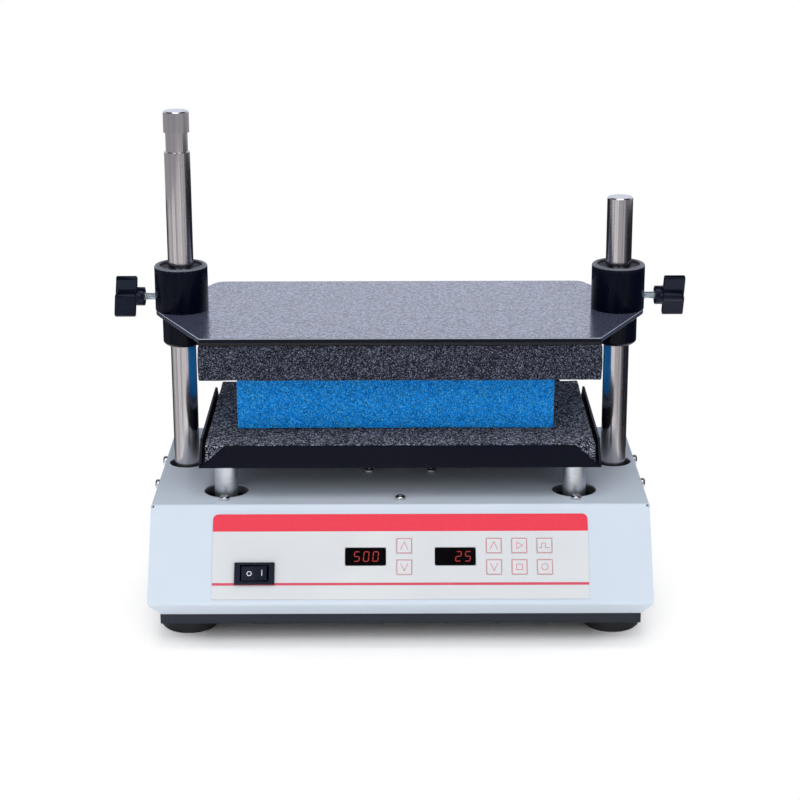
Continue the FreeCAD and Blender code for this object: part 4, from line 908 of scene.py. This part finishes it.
@dataclass(frozen=True)
class FoamPiece:
    """A cut foam piece in the place of a plain solid, with rounded edges and bulged sides.

    Its faces are about a step wide. A boss rises into its underside at the solid named over, its top stops
    skin below the solid's top, and its ends stop short by trim. Slow waves and a fine fuzz, with
    so many to a metre, roughen it, and boss_room is how many steps round the boss are raised.
    """

    name: str
    node: str
    body: str
    slot: str
    finish: Foam
    radius: float
    bulge: float
    step: float
    over: str | None = None
    skin: float = 0.0
    trim: float = 0.0
    arc_steps: int = 4
    wave: float = 0.35 * MM
    wave_count: float = 38.0
    fuzz: float = 0.16 * MM
    fuzz_count: float = 420.0
    boss_room: float = 1.5

    def ticks(self, low: float, high: float) -> list[float]:
        """Space the lattice along one axis, closer where the edges round off.

        Args:
            low: the lower end.
            high: the upper end.

        Returns:
            The places in rising order.
        """
        length = high - low - 2 * self.radius
        count = max(2, round(length / self.step))
        turns = [math.pi / 2 * at / self.arc_steps for at in range(self.arc_steps, 0, -1)]
        bends = [self.radius * (1 - math.sin(turn)) for turn in turns]
        flat = [low + self.radius + length * at / count for at in range(count + 1)]
        return [low + bend for bend in bends] + flat + [high - bend for bend in reversed(bends)]

    def relax(self, spot: Vector, low: Vector, high: Vector) -> Vector:
        """Round a point of the box off, bulge it and roughen it.

        Args:
            spot: a point of the box.
            low: the box's lowest corner.
            high: the box's highest corner.

        Returns:
            The point on the foam.
        """
        inset = self.bulge + self.wave + self.fuzz
        limits = zip(spot, low, high)
        core = Vector([min(max(at, start + self.radius), end - self.radius) for at, start, end in limits])
        way = (spot - core).normalized()
        share = (spot.z - low.z) / (high.z - low.z)
        swell = self.bulge * math.sin(math.pi * share) * math.hypot(way.x, way.y)
        slow = self.wave * noise.noise(spot * self.wave_count)
        quick = self.fuzz * noise.noise(spot * self.fuzz_count)
        sink = inset * math.hypot(way.x, way.y) + (self.wave + self.fuzz) * abs(way.z)
        return core + way * (self.radius - sink + swell + slow + quick)

    def clear(self, sculpt: Sculpt, floor: float) -> None:
        """Raise the underside over the boss.

        Args:
            sculpt: the foam's corners.
            floor: the height up to which corners belong to the underside.
        """
        low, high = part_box(self.over)
        middle = (low + high) / 2
        reach = (high.x - low.x) / 2 + self.boss_room * self.step
        for corner in sculpt.corners:
            if corner.z < floor and math.hypot(corner.x - middle.x, corner.y - middle.y) < reach:
                corner.z = high.z + self.wave

    def build(self) -> None:
        """Make the foam on the faces of a lattice."""
        low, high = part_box(self.node)
        high.z -= self.skin
        low.x += self.trim
        high.x -= self.trim
        lines = [self.ticks(low[axis], high[axis]) for axis in range(3)]
        sculpt = Sculpt()
        known: dict[tuple[int, int, int], int] = {}

        def corner(place: tuple[int, int, int]) -> int:
            """Number a lattice place, adding its corner when it is new."""
            if place not in known:
                known[place] = len(sculpt.corners)
                spot = Vector([lines[axis][place[axis]] for axis in range(3)])
                sculpt.corners.append(self.relax(spot, low, high))
            return known[place]

        for axis in range(3):
            across, along = (axis + 1) % 3, (axis + 2) % 3
            ends = (0, len(lines[axis]) - 1)
            columns, rows = range(len(lines[across]) - 1), range(len(lines[along]) - 1)
            for end, column, row in product(ends, columns, rows):
                loop = []
                for right, up in ((0, 0), (1, 0), (1, 1), (0, 1)):
                    place = {axis: end, across: column + right, along: row + up}
                    loop.append(corner((place[0], place[1], place[2])))
                sculpt.faces.append(loop if end else loop[::-1])
        if self.over:
            self.clear(sculpt, low.z + self.radius)
        piece = sculpt.make(self.name, self.body, self.finish, smooth=True)
        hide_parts(self.node)


@dataclass
class Console:
    """The painted housing, its base, feet, rods and screws."""

    edge: float = 0.6 * MM

    def dress(self) -> None:
        """Dress the sheet metal, rods, feet and screws."""
        dress(["cover", "rear_panel"], PALE_ENAMEL)
        dress(["base_plate"], SLATE_ENAMEL)
        dress(["rubber_feet"], FOOT_RUBBER)
        dress(["long_rod", "short_rod"], GROUND_STEEL)
        dress(["cover_screws", "drive_screws", "side_screws", "rear_screws", "foot_screws"], SCREW_NICKEL)
        dress(["power_inlet"], INLET_BLACK)
        dress(["inlet_pins"], SCREW_NICKEL)
        soften(["base_plate", "power_inlet"], self.edge)


@dataclass
class ClampPlate:
    """The coated plate on its collars, with the foam under it."""

    pad: FoamPiece = FoamPiece(
        "top_foam", "top_pad", "clamp_plate", "charcoal_foam", CHARCOAL,
        radius=1.6 * MM, bulge=0.5 * MM, step=2.6 * MM, skin=2.2 * MM,
    )
    dark_sheet_inset: float = 0.5 * MM
    dark_sheet_bevel: float = 0.4 * MM
    dark_sheet_corner: float = 3.0 * MM
    edge: float = 0.7 * MM

    def build(self) -> None:
        """Make the foam slab and a dark sheet along its top, under the plate."""
        self.pad.build()
        low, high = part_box(self.pad.node)
        middle = (low + high) / 2
        size = high - low
        inner, bevel = self.dark_sheet_inset, self.dark_sheet_bevel
        sections = []
        for inset, rise in ((inner + bevel, 0.0), (inner, bevel), (inner, self.pad.skin)):
            outline = rounded(size.x - 2 * inset, size.y - 2 * inset, [self.dark_sheet_corner] * 4)
            height = high.z - self.pad.skin + rise
            sections.append([Vector((middle.x + x, middle.y + y, height)) for x, y in outline])
        sheet = Sculpt()
        sheet.loft(sections)
        # A dark sheet on the foam's top: it gives the dark band under the plate's edge.
        piece = sheet.make("foam_top_dark_sheet", "clamp_plate", BELT_RUBBER)

    def dress(self) -> None:
        """Dress the plate, the collars and their liners."""
        dress(["top_plate"], SATIN_POWDER)
        dress(["left_collar", "right_collar"], BLACK_ANODISED)
        dress(["left_liner", "right_liner"], LINER_DARK)
        dress(["top_pad"], CHARCOAL)
        soften(["top_plate", "left_collar", "right_collar"], self.edge)


@dataclass
class WingKnobs:
    """The two wing knobs with their threaded studs and tips."""

    pitch: float = 1.0 * MM
    depth: float = 0.32 * MM
    crest: float = 1.2
    rows: int = 8
    columns: int = 28
    edge: float = 0.6 * MM

    def build(self) -> None:
        """Make the thread of both studs."""
        for side in ("left", "right"):
            self.stud(side)

    def stud(self, side: str) -> None:
        """Make one threaded stud along X.

        Args:
            side: "left" or "right".
        """
        low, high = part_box(f"{side}_screw")
        middle = (low + high) / 2
        radius = (high.z - low.z) / 2
        count = round((high.x - low.x) / self.pitch * self.rows)
        sections = []
        for row in range(count + 1):
            x = low.x + (high.x - low.x) * row / count
            taper = min(x - low.x, high.x - x, self.depth)
            section = []
            for column in range(self.columns):
                angle = 2 * math.pi * column / self.columns
                phase = ((x - low.x) / self.pitch - column / self.columns) % 1.0
                reach = radius - self.depth * (1 - abs(2 * phase - 1)) ** self.crest
                reach = min(reach, radius - self.depth + taper)
                y, z = middle.y + reach * math.cos(angle), middle.z + reach * math.sin(angle)
                section.append(Vector((x, y, z)))
            sections.append(section)
        sculpt = Sculpt()
        sculpt.loft(sections)
        piece = sculpt.make(f"{side}_stud", f"{side}_clamp_knob", BRIGHT_ZINC, smooth=True)
        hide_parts(f"{side}_screw")

    def dress(self) -> None:
        """Dress the knobs, the tips and the studs' solids."""
        dress(["left_knob", "right_knob"], KNOB_BLACK)
        dress(["left_screw", "right_screw"], BRIGHT_ZINC)
        dress(["left_tip", "right_tip"], LINER_DARK)
        soften(["left_knob", "right_knob"], self.edge)


@dataclass
class Tray:
    """The orbiting tray with its posts, pad and foam rack."""

    pad: FoamPiece = FoamPiece(
        "tray_foam", "tray_pad", "tray", "charcoal_foam", OPEN_CHARCOAL,
        radius=1.2 * MM, bulge=0.0, step=3.2 * MM, over="tray_hub", trim=2.0 * MM,
    )
    rack: FoamPiece = FoamPiece(
        "rack_foam", "foam_rack", "rack", "blue_foam", BLUE, radius=1.4 * MM, bulge=0.6 * MM, step=2.6 * MM
    )
    edge: float = 0.4 * MM

    def build(self) -> None:
        """Make the pad and the rack."""
        self.pad.build()
        self.rack.build()

    def dress(self) -> None:
        """Dress the tray, its posts and the solids the foams stand for."""
        dress(["tray"], TRAY_POWDER)
        dress(["tray_posts"], POST_STEEL)
        dress(["tray_pad"], OPEN_CHARCOAL)
        dress(["foam_rack"], BLUE)
        dress(["tray_hub"], TURNED_ALLOY)
        dress(["tray_bearing"], GROUND_STEEL)
        soften(["tray"], self.edge)


@dataclass
class Drive:
    """The works under the cover: deck, spindle, belt, motor and supply."""

    def dress(self) -> None:
        """Dress the hidden works."""
        dress(["deck_plate", "power_supply"], BRUSHED_ALLOY)
        dress(["deck_pillars", "rod_sockets", "spindle_housing"], TURNED_ALLOY)
        dress(["driven_pulley", "motor_pulley"], TURNED_ALLOY)
        dress(["spindle", "spindle_bearings", "motor_shaft"], GROUND_STEEL)
        dress(["counterweight"], DULL_ZINC)
        dress(["post_mounts"], FOOT_RUBBER)
        dress(["drive_belt"], BELT_RUBBER)
        dress(["motor"], MOTOR_PAINT)


@dataclass(frozen=True)
class Softbox:
    """A large soft lamp: its place, its width and height, its watts and whether only the floor gets it."""

    name: str
    place: tuple[float, float, float]
    size: Point
    power: float
    floor_only: bool = False

    def build(self, target: Vector, floor: bpy.types.Collection) -> None:
        """Make the lamp and turn it towards a point.

        Args:
            target: the point it looks at.
            floor: the collection that holds the floor.
        """
        light = bpy.data.lights.new(self.name, "AREA")
        light.shape = "RECTANGLE"
        light.size, light.size_y = self.size
        light.energy = self.power
        lamp = bpy.data.objects.new(self.name, light)
        lamp.location = self.place
        lamp.rotation_euler = (target - Vector(self.place)).to_track_quat("-Z", "Y").to_euler()
        bpy.context.scene.collection.objects.link(lamp)
        if self.floor_only:
            lamp.light_linking.receiver_collection = floor
            lamp.visible_glossy = False


def prop(name: str, rows: Sequence[Sequence[Vector]]) -> tuple[bpy.types.Object, Shader]:
    """Make a staging sheet from rows of corners.

    Args:
        name: the name of the sheet and of its material.
        rows: rows of corners, joined into an open sheet.

    Returns:
        The sheet and the empty shader of its material.
    """
    size = len(rows[0])
    faces = [
        (row * size + at, row * size + at + 1, (row + 1) * size + at + 1, (row + 1) * size + at)
        for row in range(len(rows) - 1)
        for at in range(size - 1)
    ]
    mesh = bpy.data.meshes.new(name)
    mesh.from_pydata([corner for row in rows for corner in row], [], faces)
    material = bpy.data.materials.new(name)
    material.use_nodes = True
    mesh.materials.append(material)
    thing = bpy.data.objects.new(name, mesh)
    bpy.context.scene.collection.objects.link(thing)
    return thing, Shader(material.node_tree)


@dataclass(frozen=True)
class PolishScreen:
    """A low upright screen round the mixer that shows in polished surfaces only.

    It stands at its reach between foot and height: dark behind the mixer, bright to the left and the front.
    """

    reach: float = 0.46
    foot: float = 2.0 * MM
    height: float = 0.27
    chords: int = 96
    dark: str = "#24252d"
    bright: str = "#f4f2f3"

    def build(self) -> None:
        """Make the screen with soft upright streaks and hide it from all but reflections."""
        ring = circle(self.reach, self.chords)
        rows = [[Vector((x, y, z)) for x, y in ring + ring[:1]] for z in (self.foot, self.height)]
        thing, shader = prop("polish_screen", rows)
        spot = shader.place((1 / self.reach, 1 / self.reach, 0.0))
        across = shader.axis(spot, "X")
        back = shader.axis(spot, "Y")
        left = (-0.7 * across - 0.7 * back).ease(0.15, 0.9)
        front = (0.4 * across - 0.9 * back).ease(0.5, 1.0)
        streaks = shader.cloud(14.0, 3.0, (1.0, 1.0, 0.001)).ease(0.34, 0.66)
        level = (0.9 * left + 0.75 * front) * (0.35 + 0.95 * streaks)
        colour = shader.blend(level, self.dark, self.bright)
        face = shader.add("Emission", None, {"Color": colour})
        shader.add("OutputMaterial", None, {"Surface": face})
        thing.visible_camera = False
        thing.visible_diffuse = False
        thing.visible_shadow = False
        thing.visible_transmission = False


@dataclass
class Studio:
    """Pale floor, soft lamps, white surround and the photo's camera."""

    eye: tuple[float, float, float] = (0.0, -1.6673, 0.6726)
    pitch: float = 73.06
    roll: float = -0.155
    lens: float = 94.5
    sensor: float = 36.0
    nearest: float = 0.05
    target: tuple[float, float, float] = (0.0, 0.0, 0.15)
    lamps: tuple[Softbox, ...] = (
        Softbox("key_lamp", (-1.0, -2.0, 1.3), (1.3, 1.3), 11.2),
        Softbox("fill_lamp", (1.1, -2.0, 1.1), (1.3, 1.3), 9.1),
        Softbox("top_lamp", (0.0, -0.75, 2.1), (1.6, 1.3), 15.5),
        Softbox("floor_lamp", (0.0, 0.7, 2.2), (1.6, 1.0), 30.0, floor_only=True),
    )
    reach: float = 9.0
    shade: Point = (0.212, 0.26)
    screen: PolishScreen = PolishScreen()

    def build(self) -> None:
        """Make the floor, the screen, the lamps, the surround and the camera."""
        floor = self.floor()
        self.screen.build()
        for lamp in self.lamps:
            lamp.build(Vector(self.target), floor)
        self.surround()
        self.camera()
        bpy.context.scene.view_settings.view_transform = "Standard"

    def floor(self) -> bpy.types.Collection:
        """Make a pale floor that runs out to white and keeps the shadow near the mixer.

        Returns:
            The collection that holds it.
        """
        ends = (-self.reach, self.reach)
        rows = [[Vector((x, y, 0.0)) for x in ends] for y in ends]
        sheet, shader = prop("studio_floor", rows)
        oval = shader.place((1 / self.shade[0], 1 / self.shade[1], 1.0))
        apart = shader.add("VectorMath", {"operation": "LENGTH"}, {0: oval}, "Value")
        away = shader.add("VectorMath", {"operation": "LENGTH"}, {0: shader.place()}, "Value")
        seen = shader.add("LightPath", output="Is Camera Ray")
        mirrored = shader.add("LightPath", output="Is Glossy Ray")
        clear = apart.ease(0.8, 1.2)
        far = away.ease(0.4, 0.9)
        pale = shader.blend(shader.cloud(30.0), "#f8f6f2", "#f9f7f4")
        matt = shader.add("BsdfDiffuse", None, {"Color": pale})
        white = shader.add("Emission", None, {"Color": WHITE})
        grey = shader.add("Emission", None, {"Color": "#a5a4aa"})
        shown = shader.add("MixShader", None, {0: seen * clear, 1: matt, 2: white})
        mixed = shader.add("MixShader", None, {0: mirrored * far, 1: shown, 2: grey})
        shader.add("OutputMaterial", None, {"Surface": mixed})
        held = bpy.data.collections.new("floor_only")
        held.objects.link(sheet)
        return held

    def surround(self) -> None:
        """Make the surround: white to look at, a white backdrop in reflections, softer as light."""
        world = bpy.data.worlds.new("surround")
        world.use_nodes = True
        bpy.context.scene.world = world
        shader = Shader(world.node_tree)
        camera = shader.add("LightPath", output="Is Camera Ray")
        glossy = shader.add("LightPath", output="Is Glossy Ray")
        way = shader.add("TexCoord", output="Generated")
        soft = shader.add("Background", None, {"Color": "#eaf0fd", "Strength": 0.53})
        white = shader.add("Background", None, {"Color": WHITE})
        wall = shader.axis(way, "Y").ease(0.1, 0.6) * shader.axis(way, "Z").ease(0.85, 0.4)
        room = shader.blend(wall, "#26282f", "#ecf1ff")
        studio = shader.add("Background", None, {"Color": room})
        shown = shader.add("MixShader", None, {0: camera, 1: soft, 2: white})
        shown = shader.add("MixShader", None, {0: glossy, 1: shown, 2: studio})
        shader.add("OutputWorld", None, {"Surface": shown})

    def camera(self) -> None:
        """Set the camera at the photo's angle."""
        lens = bpy.data.cameras.new("photo_camera")
        lens.lens = self.lens
        lens.sensor_width = self.sensor
        lens.clip_start = self.nearest
        eye = bpy.data.objects.new("photo_camera", lens)
        eye.location = self.eye
        eye.rotation_mode = "ZXY"
        eye.rotation_euler = (math.radians(self.pitch), 0.0, math.radians(self.roll))
        bpy.context.scene.collection.objects.link(eye)
        bpy.context.scene.camera = eye


def main() -> None:
    """Build and dress every sub-assembly, then the studio."""
    logging.basicConfig(level=logging.INFO, format="%(name)s %(message)s")
    panel = ControlPanel()
    plate = ClampPlate()
    knobs = WingKnobs()
    tray = Tray()
    for dressed in (Console(), Drive(), panel, plate, knobs, tray):
        dressed.dress()
    for made in (panel, plate, knobs, tray):
        made.build()
    Studio().build()


if __name__ == "__main__":
    main()
